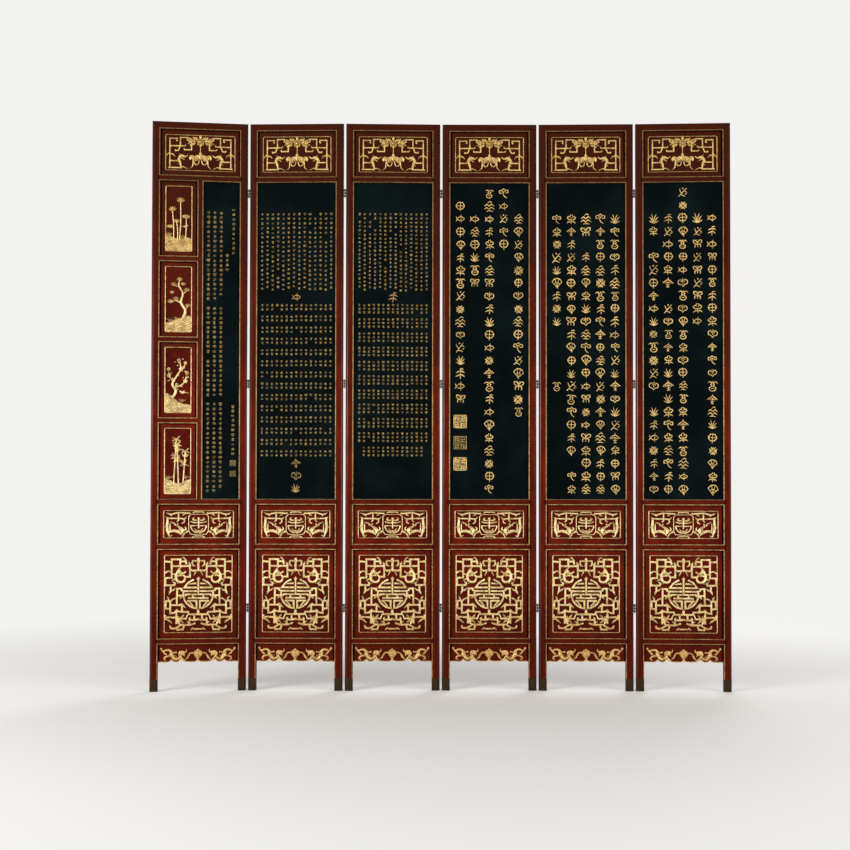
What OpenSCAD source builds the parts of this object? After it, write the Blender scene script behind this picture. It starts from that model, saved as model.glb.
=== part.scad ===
// Six-leaf folding lacquer screen, in millimetres, front towards -Y, floor at Z = 0.
// Each leaf is a mitred and tenoned frame round floating boards. Leaf 1, at the left
// end, has a column of four small picture panels beside its board.

/* [Screen] */
// Height from the floor to the top edge
height = 2700; // [2640:5:2760]
// Width of one leaf
leaf_w = 450; // [440:1:470]
// Gap between two leaves, bridged by the hinges
leaf_gap = 10; // [9:0.5:14]
// Thickness of the frame, front to back
frame_t = 30; // [28:1:32]

/* [Standing position] */
// Angle of leaf 1 to the row, in degrees
angle_1 = 6.9; // [4:0.1:9]
// Angle of leaf 2
angle_2 = -1.7; // [-4:0.1:0]
// Angle of leaf 3
angle_3 = 1.7; // [0:0.1:4]
// Angle of leaf 4
angle_4 = 0; // [-2:0.1:2]
// Angle of leaf 5
angle_5 = -1.5; // [-4:0.1:0]
// Angle of leaf 6
angle_6 = -2.9; // [-6:0.1:0]

/* [Frame] */
// Face width of the stiles and of the top rail
stile_w = 38; // [34:1:44]
// Height of the rails between the panels
rail_h = 29; // [26:1:32]
// Length of the rails' tenons in the stiles
tenon_l = 20; // [14:1:24]
// Width of the gilt bead round each opening
bead_w = 5; // [4:0.5:6]
// Depth of the rebate that the bead lies in
rebate_d = 8; // [6:0.5:9]
// How far the bead's crown stands proud of the frame
bead_proud = 1; // [0:0.5:2]
// Depth of the grooves that hold the boards
groove_d = 6; // [5:0.5:7]
// Room left in a groove for a board to swell
swelling_room = 1; // [0.5:0.25:2]

/* [Openings] */
// Height of the rail over the legs, at its underside
leg_h = 221; // [210:1:232]
// Height of the skirt panel's opening
skirt_h = 416; // [404:2:440]
// Height of the waist panel's opening
waist_h = 184; // [176:2:200]
// Height of the top panel's opening
top_panel_h = 218; // [208:2:230]

/* [Picture leaf] */
// Width of the picture column's openings
picture_w = 175; // [168:1:184]
// Face width of the mullion between pictures and board
mullion_w = 28; // [24:1:32]
// Height of the short rails between the pictures
short_rail_h = 28; // [24:1:32]
// Length of the short rails' and the mullion's tenons
short_tenon_l = 9; // [7:0.5:10]
// Number of pictures in the column
picture_count = 4; // [3:1:5]
// Width of a picture's sunk field
picture_field_w = 127; // [118:1:134]
// Margin above and below a picture's sunk field
picture_margin = 20; // [17:1:28]

/* [Boards] */
// Thickness of every board
board_t = 10; // [9:0.5:12]
// Width of the quirk that shadows a red panel's sides
quirk_w = 6.5; // [4:0.5:8]
// Width of the quirk along a red panel's top
top_quirk_w = 4; // [3:0.5:6]
// Depth of the quirk
quirk_d = 4; // [2:0.5:5]
// Depth of the sunk fields in the red panels
field_d = 4; // [3:0.5:5]
// Width of the top and waist panels' sunk fields
wide_field_w = 330; // [310:2:340]
// Height of the top panel's sunk field
top_field_h = 174; // [162:2:182]
// Height of the waist panel's sunk field
waist_field_h = 134; // [126:2:144]
// Width of the skirt panel's sunk field
skirt_field_w = 320; // [306:2:340]
// Height of the skirt panel's sunk field
skirt_field_h = 370; // [350:2:380]
// Corner radius of the sunk fields
field_r = 8; // [6:0.5:14]

/* [Gilt carving] */
// Width of the fillet that edges each sunk field
fillet_w = 5; // [4:0.5:6]
// How far the fillet stands proud of its panel
fillet_proud = 2; // [1:0.5:3]
// How far the relief stands proud of its panel
relief_proud = 1.5; // [0.5:0.25:3]
// Width of the fret's bars
fret_w = 8.5; // [7:0.5:9]
// Width of the dragons' bodies
dragon_w = 13; // [11:0.5:14]
// Radius of the large roundel in the skirt panel
roundel_r = 74; // [68:1:78]
// Radius of the small roundel in the waist panel
small_roundel_r = 40; // [36:1:44]

/* [Apron] */
// Depth of the apron below its rail, at the legs
apron_h = 85; // [78:1:92]
// Rise of the cusps in its lower edge
cusp_rise = 9; // [6:0.5:12]
// Width of each of the two middle lobes
lobe_w = 118; // [104:1:130]
// Width of the gilt line along the lower edge
edge_line_w = 3.5; // [3:0.25:5]
// Thickness of the apron's carving
apron_relief_t = 4; // [3:0.5:6]
// Width of the apron's scrolls
scroll_w = 9; // [7:0.5:10]

/* [Shoes] */
// Height of the metal shoes
shoe_h = 59; // [50:1:70]
// Wall of the shoes
shoe_wall = 1.5; // [1:0.25:2.5]
// Clearance between a shoe's wall and the foot inside it
shoe_clearance = 0.2; // [0.1:0.05:0.4]

/* [Hinges] */
// Height of the upper hinges
upper_hinge_z = 2367; // [2300:1:2400]
// Height of the middle hinges
middle_hinge_z = 1456; // [1400:1:1500]
// Height of the lower hinges
lower_hinge_z = 390; // [360:1:420]
// Radius of the hinge pins
pin_r = 2; // [1.5:0.1:2.2]
// Running clearance of the pin in its eyes, on the radius
pin_clearance = 0.05; // [0.03:0.01:0.09]
// Clearance between an eye and the next leaf's edge
eye_clearance = 0.5; // [0.4:0.05:0.8]
// Height of one eye
eye_h = 10; // [8:0.5:11]
// Height from one eye to the next
eye_pitch = 13; // [12:0.5:16]
// Radius of the eyes' shanks
shank_r = 2; // [1.5:0.1:2.5]
// Length of the shank inside the stile
shank_l = 22; // [16:1:26]
// Clearance of the shank in its hole, on the radius
shank_clearance = 0.05; // [0.03:0.01:0.1]
// Radius of the pins' heads
pin_head_r = 3.4; // [3:0.1:3.8]
// Height of the pins' heads
pin_head_h = 3; // [2:0.25:4]
// Length of the pin below the lowest eye
pin_tail = 6; // [3:0.5:10]

/* [Hidden] */
$fn = 48;
// Overlap that makes a cut pass right through a face
cut = 1;
leaf_count = 6;
angles = [angle_1, angle_2, angle_3, angle_4, angle_5, angle_6];
pitch = leaf_w + leaf_gap;
half_t = frame_t / 2;
opening_w = leaf_w - 2 * stile_w;
rebate_y = -half_t + rebate_d;
crown_y = -half_t - bead_proud + bead_w / 2;
board_front = -board_t / 2;
board_back = board_t / 2;
tongue = groove_d - swelling_room;
field_floor = board_front + field_d;
hinge_zs = [lower_hinge_z, middle_hinge_z, upper_hinge_z];
eye_r = leaf_gap / 2 - eye_clearance;
bore_r = pin_r + pin_clearance;

// Undersides of the openings and middles of the rails, from the floor up
skirt_z = leg_h + rail_h;
waist_z = skirt_z + skirt_h + rail_h;
board_z = waist_z + waist_h + rail_h;
top_panel_z = height - stile_w - top_panel_h;
board_h = top_panel_z - rail_h - board_z;
rail_zs = [
    skirt_z - rail_h / 2,
    waist_z - rail_h / 2,
    board_z - rail_h / 2,
    top_panel_z - rail_h / 2
];
mullion_x = stile_w + picture_w;
narrow_board_x = mullion_x + mullion_w;
narrow_board_w = opening_w - picture_w - mullion_w;
picture_h = (board_h - (picture_count - 1) * short_rail_h) / picture_count;
picture_pitch = picture_h + short_rail_h;
picture_zs = [for (k = [0:picture_count - 1]) board_z + k * picture_pitch];
short_rail_zs = [for (k = [1:picture_count - 1]) board_z + k * picture_pitch - short_rail_h / 2];
middle_x = leaf_w / 2;

// Pivot points of the hinges in plan, from the left end, before they are centred
function raw_pivot(i) = i == 0
    ? [0, 0]
    : raw_pivot(i - 1) + pitch * [cos(angles[i - 1]), sin(angles[i - 1])];
raw_pivots = [for (i = [0:leaf_count]) raw_pivot(i)];
depths = [for (p = raw_pivots) p[1]];
plan_middle = [raw_pivots[leaf_count][0] / 2, (min(depths) + max(depths)) / 2];
pivots = [for (p = raw_pivots) p - plan_middle];

// Places a leaf's pieces, drawn with its outer left edge at X = 0
module on_leaf(i) {
    translate([pivots[i - 1][0], pivots[i - 1][1], 0])
        rotate([0, 0, angles[i - 1]])
            translate([leaf_gap / 2, 0, 0])
                children();
}

// Stands a drawing in X and Z up as a plate between two depths
module plate(y_front, y_back) {
    translate([0, y_back, 0])
        rotate([90, 0, 0])
            linear_extrude(y_back - y_front)
                children();
}

module block(x0, x1, y0, y1, z0, z1) {
    translate([x0, y0, z0])
        cube([x1 - x0, y1 - y0, z1 - z0]);
}

// Joinery

// Stile section in plan: half-round outer edge at X = 0, flat inner edge
module stile_section(inset) {
    translate([half_t, 0])
        circle(half_t - inset);
    translate([half_t, -half_t + inset])
        square([stile_w - half_t - inset, frame_t - 2 * inset]);
}

// What a rail's end takes out of the member at X = 0 that it points into, towards -X
module end_socket(width, tenon) {
    point = width / 2 - bead_w;
    plate(-half_t - cut, rebate_y)
        polygon([[-bead_w - point, 0], [-bead_w, -point], [cut, -point], [cut, point], [-bead_w, point]]);
    block(-tenon, cut, board_front, board_back, -width / 2 + groove_d, width / 2 - groove_d);
}

// A rail along X between shoulders at 0 and length, with pointed face ends and blind tenons
module rail(length, width, tenon) {
    point = width / 2 - bead_w;
    difference() {
        block(0, length, rebate_y, half_t, -width / 2, width / 2);
        for (z = [-width / 2 - cut, width / 2 - groove_d])
            block(-cut, length + cut, board_front, board_back, z, z + groove_d + cut);
    }
    plate(-half_t, rebate_y)
        polygon([
            [-bead_w - point, 0], [-bead_w, -point], [length + bead_w, -point],
            [length + bead_w + point, 0], [length + bead_w, point], [-bead_w, point]
        ]);
    block(-tenon, length + tenon, board_front, board_back, -width / 2 + groove_d, width / 2 - groove_d);
}

// Stile with its foot reduced for the shoe, its rebate, groove, sockets and hinge holes
module stile(hole_offsets, has_short_rails) {
    difference() {
        union() {
            translate([0, 0, shoe_h])
                linear_extrude(height - shoe_h)
                    stile_section(0);
            translate([0, 0, shoe_wall])
                linear_extrude(shoe_h - shoe_wall)
                    stile_section(shoe_wall + shoe_clearance);
        }
        plate(-half_t - cut, half_t + cut)
            polygon([[-cut, height + cut], [stile_w + cut, height + cut], [stile_w + cut, height - stile_w - cut]]);
        block(stile_w - bead_w, stile_w + cut, -half_t - cut, rebate_y, shoe_h, height);
        block(stile_w - groove_d, stile_w + cut, board_front, board_back, leg_h - apron_h, height);
        block(stile_w - tenon_l, stile_w + cut, board_front, board_back,
            height - stile_w + groove_d, height - stile_w + tenon_l);
        for (z = rail_zs)
            translate([stile_w, 0, z])
                end_socket(rail_h, tenon_l);
        if (has_short_rails)
            for (z = short_rail_zs)
                translate([stile_w, 0, z])
                    end_socket(short_rail_h, short_tenon_l);
        for (z = hinge_zs, offset = hole_offsets)
            translate([-cut, 0, z + offset * eye_pitch])
                rotate([0, 90, 0])
                    cylinder(r = shank_r + shank_clearance, h = shank_l + cut);
    }
}

// The top rail runs to both upper corners, mitred, with blind tenons into the stiles
module top_rail() {
    difference() {
        intersection() {
            rotate([90, 0, 90])
                linear_extrude(leaf_w) {
                    translate([0, height - half_t])
                        circle(half_t);
                    translate([-half_t, height - stile_w])
                        square([frame_t, stile_w - half_t]);
                }
            plate(-half_t - cut, half_t + cut)
                polygon([
                    [0, height], [leaf_w, height],
                    [leaf_w - stile_w, height - stile_w], [stile_w, height - stile_w]
                ]);
        }
        block(0, leaf_w, -half_t - cut, rebate_y, height - stile_w - cut, height - stile_w + bead_w);
        block(0, leaf_w, board_front, board_back, height - stile_w - cut, height - stile_w + groove_d);
    }
    block(stile_w - tenon_l, leaf_w - stile_w + tenon_l, board_front, board_back,
        height - stile_w + groove_d, height - stile_w + tenon_l);
}

module leaf_mullion() {
    color([0.37, 0.09, 0.05])
        difference() {
            translate([mullion_x + mullion_w / 2, 0, board_z])
                rotate([0, -90, 0])
                    rail(board_h, mullion_w, short_tenon_l);
            for (z = short_rail_zs)
                translate([mullion_x, 0, z])
                    mirror([1, 0, 0])
                        end_socket(short_rail_h, short_tenon_l);
        }
}

// Socket for the mullion's upper end at z_sign = 1, or for its lower end at -1
module mullion_socket(z, z_sign) {
    translate([mullion_x + mullion_w / 2, 0, z])
        mirror([0, 0, z_sign > 0 ? 1 : 0])
            rotate([0, -90, 0])
                end_socket(mullion_w, short_tenon_l);
}

module leaf_stiles(i) {
    left_holes = i == 1 ? [] : [0];
    right_holes = i == leaf_count ? [] : [-1, 1];
    color([0.35, 0.08, 0.05]) {
        stile(left_holes, i == 1);
        translate([leaf_w, 0, 0])
            mirror([1, 0, 0])
                stile(right_holes, false);
    }
}

module leaf_rails(i) {
    color([0.37, 0.09, 0.05]) {
        top_rail();
        difference() {
            for (z = rail_zs)
                translate([stile_w, 0, z])
                    rail(opening_w, rail_h, tenon_l);
            if (i == 1) {
                mullion_socket(board_z, -1);
                mullion_socket(board_z + board_h, 1);
            }
        }
        if (i == 1)
            for (z = short_rail_zs)
                translate([stile_w, 0, z])
                    rail(picture_w, short_rail_h, short_tenon_l);
    }
}

// Gilt beads

// Round crown of a bead along +X, above the line from (0, 0) to (length, 0), its ends mitred
// where asked
module crown(length, mitre_0, mitre_1) {
    intersection() {
        translate([-bead_w, crown_y, bead_w / 2])
            rotate([0, 90, 0])
                cylinder(r = bead_w / 2, h = length + 2 * bead_w);
        plate(crown_y - bead_w, crown_y)
            polygon([
                [0, 0], [length, 0],
                [length + mitre_1 * bead_w, bead_w], [-mitre_0 * bead_w, bead_w]
            ]);
    }
}

// Bead round an opening, a strip in the rebate under a mitred crown. An open one runs down the
// legs and has no lower bar.
module bead_frame(x0, x1, z0, z1, is_open = false) {
    below = is_open ? 0 : bead_w;
    plate(crown_y, rebate_y)
        difference() {
            translate([x0 - bead_w, z0 - below])
                square([x1 - x0 + 2 * bead_w, z1 - z0 + bead_w + below]);
            translate([x0, is_open ? z0 - cut : z0])
                square([x1 - x0, z1 - (is_open ? z0 - cut : z0)]);
        }
    translate([x0, 0, z1])
        crown(x1 - x0, 1, 1);
    if (!is_open)
        translate([x0, 0, z0])
            mirror([0, 0, 1])
                crown(x1 - x0, 1, 1);
    translate([x0, 0, z0])
        rotate([0, -90, 0])
            crown(z1 - z0, is_open ? 0 : 1, 1);
    translate([x1, 0, z0])
        mirror([1, 0, 0])
            rotate([0, -90, 0])
                crown(z1 - z0, is_open ? 0 : 1, 1);
}

module leaf_gilt_beads(i) {
    right_x = leaf_w - stile_w;
    color([0.72, 0.56, 0.27]) {
        bead_frame(stile_w, right_x, shoe_h, leg_h, true);
        bead_frame(stile_w, right_x, skirt_z, skirt_z + skirt_h);
        bead_frame(stile_w, right_x, waist_z, waist_z + waist_h);
        bead_frame(stile_w, right_x, top_panel_z, top_panel_z + top_panel_h);
        if (i == 1) {
            bead_frame(narrow_board_x, right_x, board_z, board_z + board_h);
            for (z = picture_zs)
                bead_frame(stile_w, mullion_x, z, z + picture_h);
        } else {
            bead_frame(stile_w, right_x, board_z, board_z + board_h);
        }
    }
}

// Boards

// A board whose edges run into the grooves round its opening
module board(x, z, w, h) {
    block(x - tongue, x + w + tongue, board_front, board_back, z - tongue, z + h + tongue);
}

module rounded_field(w, h, r) {
    for (sx = [-1, 1], sz = [-1, 1])
        translate([sx * (w / 2 - r), sz * (h / 2 - r)])
            circle(r);
    square([w - 2 * r, h], center = true);
    square([w, h - 2 * r], center = true);
}

// What a quirk takes out of a panel's front, down the sides of its opening and along the top
module quirk(x, z, w, h) {
    translate([x, 0, z])
        plate(board_front - cut, board_front + quirk_d)
            difference() {
                square([w, h]);
                translate([quirk_w, -cut])
                    square([w - 2 * quirk_w, h - top_quirk_w + cut]);
            }
}

// A quirked board with a sunk field at the middle of its front
module sunk_board(x, z, w, h, field_w, field_h) {
    difference() {
        board(x, z, w, h);
        quirk(x, z, w, h);
        translate([x + w / 2, 0, z + h / 2])
            plate(board_front - cut, field_floor)
                rounded_field(field_w, field_h, field_r);
    }
}

module leaf_lacquer_board(i) {
    color([0.05, 0.08, 0.09])
        if (i == 1)
            board(narrow_board_x, board_z, narrow_board_w, board_h);
        else
            board(stile_w, board_z, opening_w, board_h);
}

module leaf_red_panels(i) {
    color([0.4, 0.1, 0.06]) {
        sunk_board(stile_w, skirt_z, opening_w, skirt_h, skirt_field_w, skirt_field_h);
        sunk_board(stile_w, waist_z, opening_w, waist_h, wide_field_w, waist_field_h);
        sunk_board(stile_w, top_panel_z, opening_w, top_panel_h, wide_field_w, top_field_h);
        if (i == 1)
            for (z = picture_zs)
                sunk_board(stile_w, z, picture_w, picture_h, picture_field_w, picture_h - 2 * picture_margin);
    }
}

// Lower edge of the apron: two long lobes meet in a cusp at the middle, and half a lobe runs
// out at each leg
side_w = opening_w / 2 - lobe_w;
function edge_z(x) = abs(x) <= lobe_w
    ? cusp_rise * pow(2 * abs(x) / lobe_w - 1, 2)
    : cusp_rise * pow((opening_w / 2 - abs(x)) / side_w, 2);
right_xs = concat([for (k = [0:8]) k * lobe_w / 8], [for (k = [1:6]) lobe_w + k * side_w / 6]);
edge_xs = concat([for (k = [len(right_xs) - 1:-1:1]) -right_xs[k]], right_xs);
edge = [for (x = edge_xs) [x, edge_z(x)]];

module apron_outline() {
    half_w = opening_w / 2 + tongue;
    top = apron_h + tongue;
    polygon(concat([[-half_w, top], [-half_w, 0]], edge, [[half_w, 0], [half_w, top]]));
}

module leaf_apron() {
    color([0.4, 0.1, 0.06])
        difference() {
            translate([middle_x, 0, leg_h - apron_h])
                plate(board_front, board_back)
                    apron_outline();
            quirk(stile_w, leg_h - apron_h, opening_w, apron_h);
        }
}

// Gilt carving, drawn in X and Z from the middle of its field

function unit(v) = v / norm(v);
function left_of(v) = [-v[1], v[0]];
function mitre_at(p, k) =
    let (
        last = len(p) - 1,
        before = unit(k == 0 ? p[1] - p[0] : p[k] - p[k - 1]),
        after = unit(k == last ? p[last] - p[last - 1] : p[k + 1] - p[k]),
        across = unit(left_of(before) + left_of(after))
    )
    across / (across * left_of(before));
function outline_of(p, w) = concat(
    [for (k = [0:len(p) - 1]) p[k] + mitre_at(p, k) * w / 2],
    [for (k = [len(p) - 1:-1:0]) p[k] - mitre_at(p, k) * w / 2]
);

// A pattern is laid out for a field of one size. Its fit, in X and Z, is how far the field in
// use stretches it.
skirt_layout = [320, 374];
waist_layout = [328, 136];
top_layout = [328, 172];
apron_layout = [374, 88];
function fit_of(w, h, layout) = [w / layout[0], h / layout[1]];
function stretched(p, fit) = [for (q = p) [q[0] * fit[0], q[1] * fit[1]]];

// Bars of one width along each path
module bars(paths, w, fit = [1, 1]) {
    for (p = paths)
        polygon(outline_of(stretched(p, fit), w));
}

module both_sides() {
    children();
    mirror([1, 0])
        children();
}

module ring(r, w) {
    difference() {
        circle(r);
        circle(r - w);
    }
}

// A leaf or a lobe with plain facets
module petal(place, rx, rz, lean, fit) {
    translate([place[0] * fit[0], place[1] * fit[1]])
        rotate(lean)
            scale([fit[0], fit[1] * rz / rx])
                circle(rx, $fn = 8);
}

// Dragon's head that looks towards -X, with its jaws open and its crest swept back
dragon_head_outline = [
    [2, 8], [11, 19], [-2, 10], [-13, 17], [-10, 9], [-18, 8], [-27, 13], [-29, 6], [-18, 0],
    [-9, -2], [-24, -5], [-22, -10], [-10, -10], [2, -7], [9, -17], [8, -4]
];
module dragon_head(place, size, lean, fit) {
    translate([place[0] * fit[0], place[1] * fit[1]])
        rotate(lean)
            polygon(stretched(dragon_head_outline, size * fit));
}

// Round longevity mark: an arched top, a closed bowl, cross bars and a pointed spine
module roundel(r) {
    w = r * 0.12;
    intersection() {
        ring(r, w);
        both_sides()
            translate([0.28 * r, 0.4 * r])
                square([r, r]);
    }
    intersection() {
        ring(r, w);
        translate([-r, -r])
            square([2 * r, 1.22 * r]);
    }
    bars([
        [[-0.55 * r, 0.66 * r], [0.55 * r, 0.66 * r]],
        [[-0.9 * r, 0.4 * r], [0.9 * r, 0.4 * r]],
        [[-0.95 * r, 0.18 * r], [0.95 * r, 0.18 * r]],
        [[-0.8 * r, -0.16 * r], [-0.8 * r, -0.05 * r], [0.8 * r, -0.05 * r], [0.8 * r, -0.16 * r]],
        [[-0.62 * r, -0.28 * r], [0.62 * r, -0.28 * r]],
        [[0, 0], [0, 0.95 * r]]
    ], w);
    polygon([[-0.14 * r, 0.9 * r], [0, 1.1 * r], [0.14 * r, 0.9 * r]]);
    both_sides()
        bars([
            [[0.34 * r, 0], [0.34 * r, -0.28 * r]],
            [[0.66 * r, -0.46 * r], [0.14 * r, -0.46 * r], [0.14 * r, -0.95 * r]],
            [[0.6 * r, -0.52 * r], [0.34 * r, -0.76 * r]]
        ], w);
}

// Right half of the skirt's fret, tied to the fillet at the side
skirt_fret = [
    [[160, 153], [144, 150], [127, 148]],
    [[128, 68], [128, 164], [84, 164]],
    [[84, 164], [86, 134]],
    [[128, 131], [0, 131]],
    [[41, 147], [41, 80], [60, 80]],
    [[64, 172], [58, 156], [60, 143], [82, 141]],
    [[127, 84], [136, 102], [160, 98]],
    [[108, 60], [127, 71], [150, 71], [151, 41], [112, 40], [110, 56]],
    [[160, 60], [150, 60]],
    [[130, 41], [131, 12], [138, 1]],
    [[79, 24], [98, 24], [100, -14], [101, -52]],
    [[106, -12], [72, -12]],
    [[106, -22], [128, -34], [160, -34]],
    [[153, -34], [153, -70], [138, -71]],
    [[131, -35], [131, -88], [107, -90], [96, -82], [48, -84], [46, -98], [0, -98]],
    [[128, -54], [80, -54], [67, -65], [55, -68]],
    [[79, -54], [76, -82]],
    [[100, -84], [99, -128], [92, -142]],
    [[15, -97], [17, -119], [40, -119]],
    [[160, -104], [153, -104], [153, -124], [128, -126], [119, -137]],
    [[99, -117], [134, -114], [153, -116]],
    [[10, -142], [33, -147], [67, -146], [90, -157], [127, -161], [131, -149]],
    [[67, -146], [67, -168], [96, -168], [98, -158]],
    [[0, 158], [14, 160], [27, 156], [32, 142], [24, 131]],
    [[0, 111], [30, 111]],
    [[12, 110], [20, 91]]
];
skirt_dragons = [
    [[60, 80], [62, 58], [84, 54], [110, 62]],
    [[112, 64], [108, 84], [96, 96], [86, 100]],
    [[94, -142], [84, -128], [72, -114], [62, -104]]
];

// Right half of the waist panel's fret and of its eight-sided cartouche with its cap and foot
waist_fret = [
    [[148, 55], [123, 46], [100, 52], [66, 50], [46, 54]],
    [[88, 50], [88, 20]],
    [[53, 33], [60, 27], [134, 27], [145, 34]],
    [[66, 26], [66, 9]],
    [[104, 2], [120, 8], [136, 12]],
    [[92, -1], [90, -12], [84, -22]],
    [[0, 47], [36, 47], [46, 36], [46, -32], [37, -47], [8, -50], [0, -50]],
    [[0, 58], [20, 58], [27, 52]],
    [[22, -50], [31, -65]]
];
waist_dragons = [
    [[60, -52], [68, -36], [80, -34], [129, -36], [135, -20], [137, 4], [134, 28]],
    [[129, -36], [131, -52]]
];

// Right half of the top panel's fret
top_fret = [
    [[96, -70], [147, -70], [147, 66], [114, 66], [111, 55], [122, 54]],
    [[147, 32], [76, 32], [75, 42]],
    [[44, 73], [97, 73], [98, 34], [106, 10], [122, 9]],
    [[42, 38], [44, 16], [80, 16]],
    [[147, -38], [106, -38]],
    [[98, -70], [80, -67], [63, -74]],
    [[160, -9], [132, -8]],
    [[40, -36], [41, -62], [52, -73]],
    [[6, -36], [14, -47], [30, -46]]
];
top_dragons = [
    [[96, -68], [96, -54], [105, -42], [100, -27], [88, -15]]
];
// Right half of each of the two bats
upper_bat = [
    [0, 84], [8, 76], [22, 82], [40, 74], [54, 78], [66, 62], [60, 50], [66, 38], [50, 42],
    [42, 32], [32, 42], [22, 34], [12, 42], [0, 26]
];
lower_bat = [
    [0, 6], [8, -2], [20, -12], [34, -16], [44, -16], [54, -10], [58, -18], [54, -32],
    [40, -40], [26, -36], [12, -38], [0, -46]
];

module skirt_carving(fit) {
    foot = -0.95 * roundel_r;
    roundel(roundel_r);
    polygon([[-fret_w / 2, foot], [fret_w / 2, foot], [fret_w / 2, -98 * fit[1]], [-fret_w / 2, -98 * fit[1]]]);
    bars([[[-34, -167], [34, -167]], [[0, 108], [0, 166]]], fret_w, fit);
    both_sides() {
        bars(skirt_fret, fret_w, fit);
        bars(skirt_dragons, dragon_w, fit);
        dragon_head([90, 100], 1, 8, fit);
        dragon_head([74, -112], 0.9, 20, fit);
    }
}

module waist_carving(fit) {
    roundel(small_roundel_r);
    both_sides() {
        bars(waist_fret, fret_w * 0.7, fit);
        bars(waist_dragons, dragon_w * 0.9, fit);
        dragon_head([78, -32], 1, 8, fit);
    }
}

module top_carving(fit) {
    bars([[[0, 0], [0, 40]]], fret_w * 0.5, fit);
    both_sides() {
        bars(top_fret, fret_w * 0.9, fit);
        bars(top_dragons, dragon_w * 0.9, fit);
        dragon_head([86, -14], 0.85, -2, fit);
        polygon(stretched(upper_bat, fit));
        polygon(stretched(lower_bat, fit));
    }
}

// Ruyi head between two leafy scrolls, drawn from the middle of the apron's lower edge
module apron_carving(fit) {
    petal([0, 50], 13, 15, 0, fit);
    petal([0, 28], 7, 15, 0, fit);
    both_sides() {
        petal([13, 48], 9, 7, -20, fit);
        bars([
            [[8, 42], [33, 42], [40, 30], [48, 19], [60, 14], [74, 15], [104, 22], [120, 27],
                [134, 38], [148, 48], [170, 60]],
            [[66, 14], [68, 28], [62, 40], [46, 56]],
            [[118, 26], [146, 24], [156, 14]],
            [[120, 28], [118, 44], [126, 54], [142, 52]]
        ], scroll_w, fit);
        petal([72, 34], 15, 7, 60, fit);
        petal([54, 36], 9, 6, 150, fit);
        petal([154, 58], 10, 6, 70, fit);
    }
}

// Garden rock along the foot of a picture, and a branching tree out of it
module picture_carving(w, h, k) {
    side = k % 2 == 0 ? 1 : -1;
    rock = h * (0.2 + 0.03 * k);
    translate([0, -h / 2])
        mirror([side > 0 ? 0 : 1, 0]) {
            polygon([
                [-w / 2, 0], [w / 2, 0], [w / 2, rock * 0.75], [w * 0.25, rock * 0.95],
                [w * 0.1, rock * 0.8], [-w * 0.1, rock * 1.15], [-w * 0.28, rock * 1.25], [-w / 2, rock * 1.1]
            ]);
            bars([[[w * 0.05, rock * 0.7], [w * 0.12, h * 0.36], [-w * 0.06, h * 0.5], [0, h * 0.72]]], fret_w);
            bars([
                [[w * 0.12, h * 0.36], [w * 0.3, h * 0.46]],
                [[-w * 0.06, h * 0.5], [-w * 0.3, h * 0.56]],
                [[-w * 0.03, h * 0.6], [w * 0.22, h * 0.68]],
                [[0, h * 0.7], [-w * 0.2, h * 0.8]]
            ], fret_w * 0.6);
            for (place = [[0.3, 0.47], [-0.31, 0.57], [0.24, 0.69], [-0.21, 0.8], [0.02, 0.76]])
                petal([w * place[0], h * place[1]], w * 0.09, w * 0.065, 30, [1, 1]);
        }
}

// A field's carving with its fillet, placed at the middle of the field
module carved_field(x, z, field_w, field_h) {
    translate([x, 0, z]) {
        plate(board_front - fillet_proud, field_floor)
            difference() {
                rounded_field(field_w, field_h, field_r);
                rounded_field(field_w - 2 * fillet_w, field_h - 2 * fillet_w, field_r - fillet_w);
            }
        plate(board_front - relief_proud, field_floor)
            intersection() {
                rounded_field(field_w - fillet_w, field_h - fillet_w, field_r - fillet_w / 2);
                union()
                    children();
            }
    }
}

module leaf_gilt_carvings(i) {
    apron_z = leg_h - apron_h;
    line_w = opening_w - 2 * quirk_w;
    color([0.84, 0.69, 0.38]) {
        carved_field(middle_x, skirt_z + skirt_h / 2, skirt_field_w, skirt_field_h)
            skirt_carving(fit_of(skirt_field_w, skirt_field_h, skirt_layout));
        carved_field(middle_x, waist_z + waist_h / 2, wide_field_w, waist_field_h)
            waist_carving(fit_of(wide_field_w, waist_field_h, waist_layout));
        carved_field(middle_x, top_panel_z + top_panel_h / 2, wide_field_w, top_field_h)
            top_carving(fit_of(wide_field_w, top_field_h, top_layout));
        translate([middle_x, 0, apron_z])
            plate(board_front - apron_relief_t, board_front) {
                apron_carving(fit_of(opening_w, apron_h, apron_layout));
                intersection() {
                    polygon(concat(edge, [for (k = [len(edge) - 1:-1:0]) edge[k] + [0, edge_line_w]]));
                    translate([-line_w / 2, 0])
                        square([line_w, apron_h]);
                }
            }
        if (i == 1)
            for (k = [0:picture_count - 1])
                carved_field(stile_w + picture_w / 2, picture_zs[k] + picture_h / 2,
                    picture_field_w, picture_h - 2 * picture_margin)
                    picture_carving(picture_field_w - fillet_w, picture_h - 2 * picture_margin - fillet_w, k);
    }
}

// Metal

module shoe() {
    difference() {
        linear_extrude(shoe_h)
            stile_section(0);
        translate([0, 0, shoe_wall])
            linear_extrude(shoe_h)
                stile_section(shoe_wall);
    }
}

module leaf_shoes() {
    color([0.22, 0.2, 0.17]) {
        shoe();
        translate([leaf_w, 0, 0])
            mirror([1, 0, 0])
                shoe();
    }
}

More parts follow.
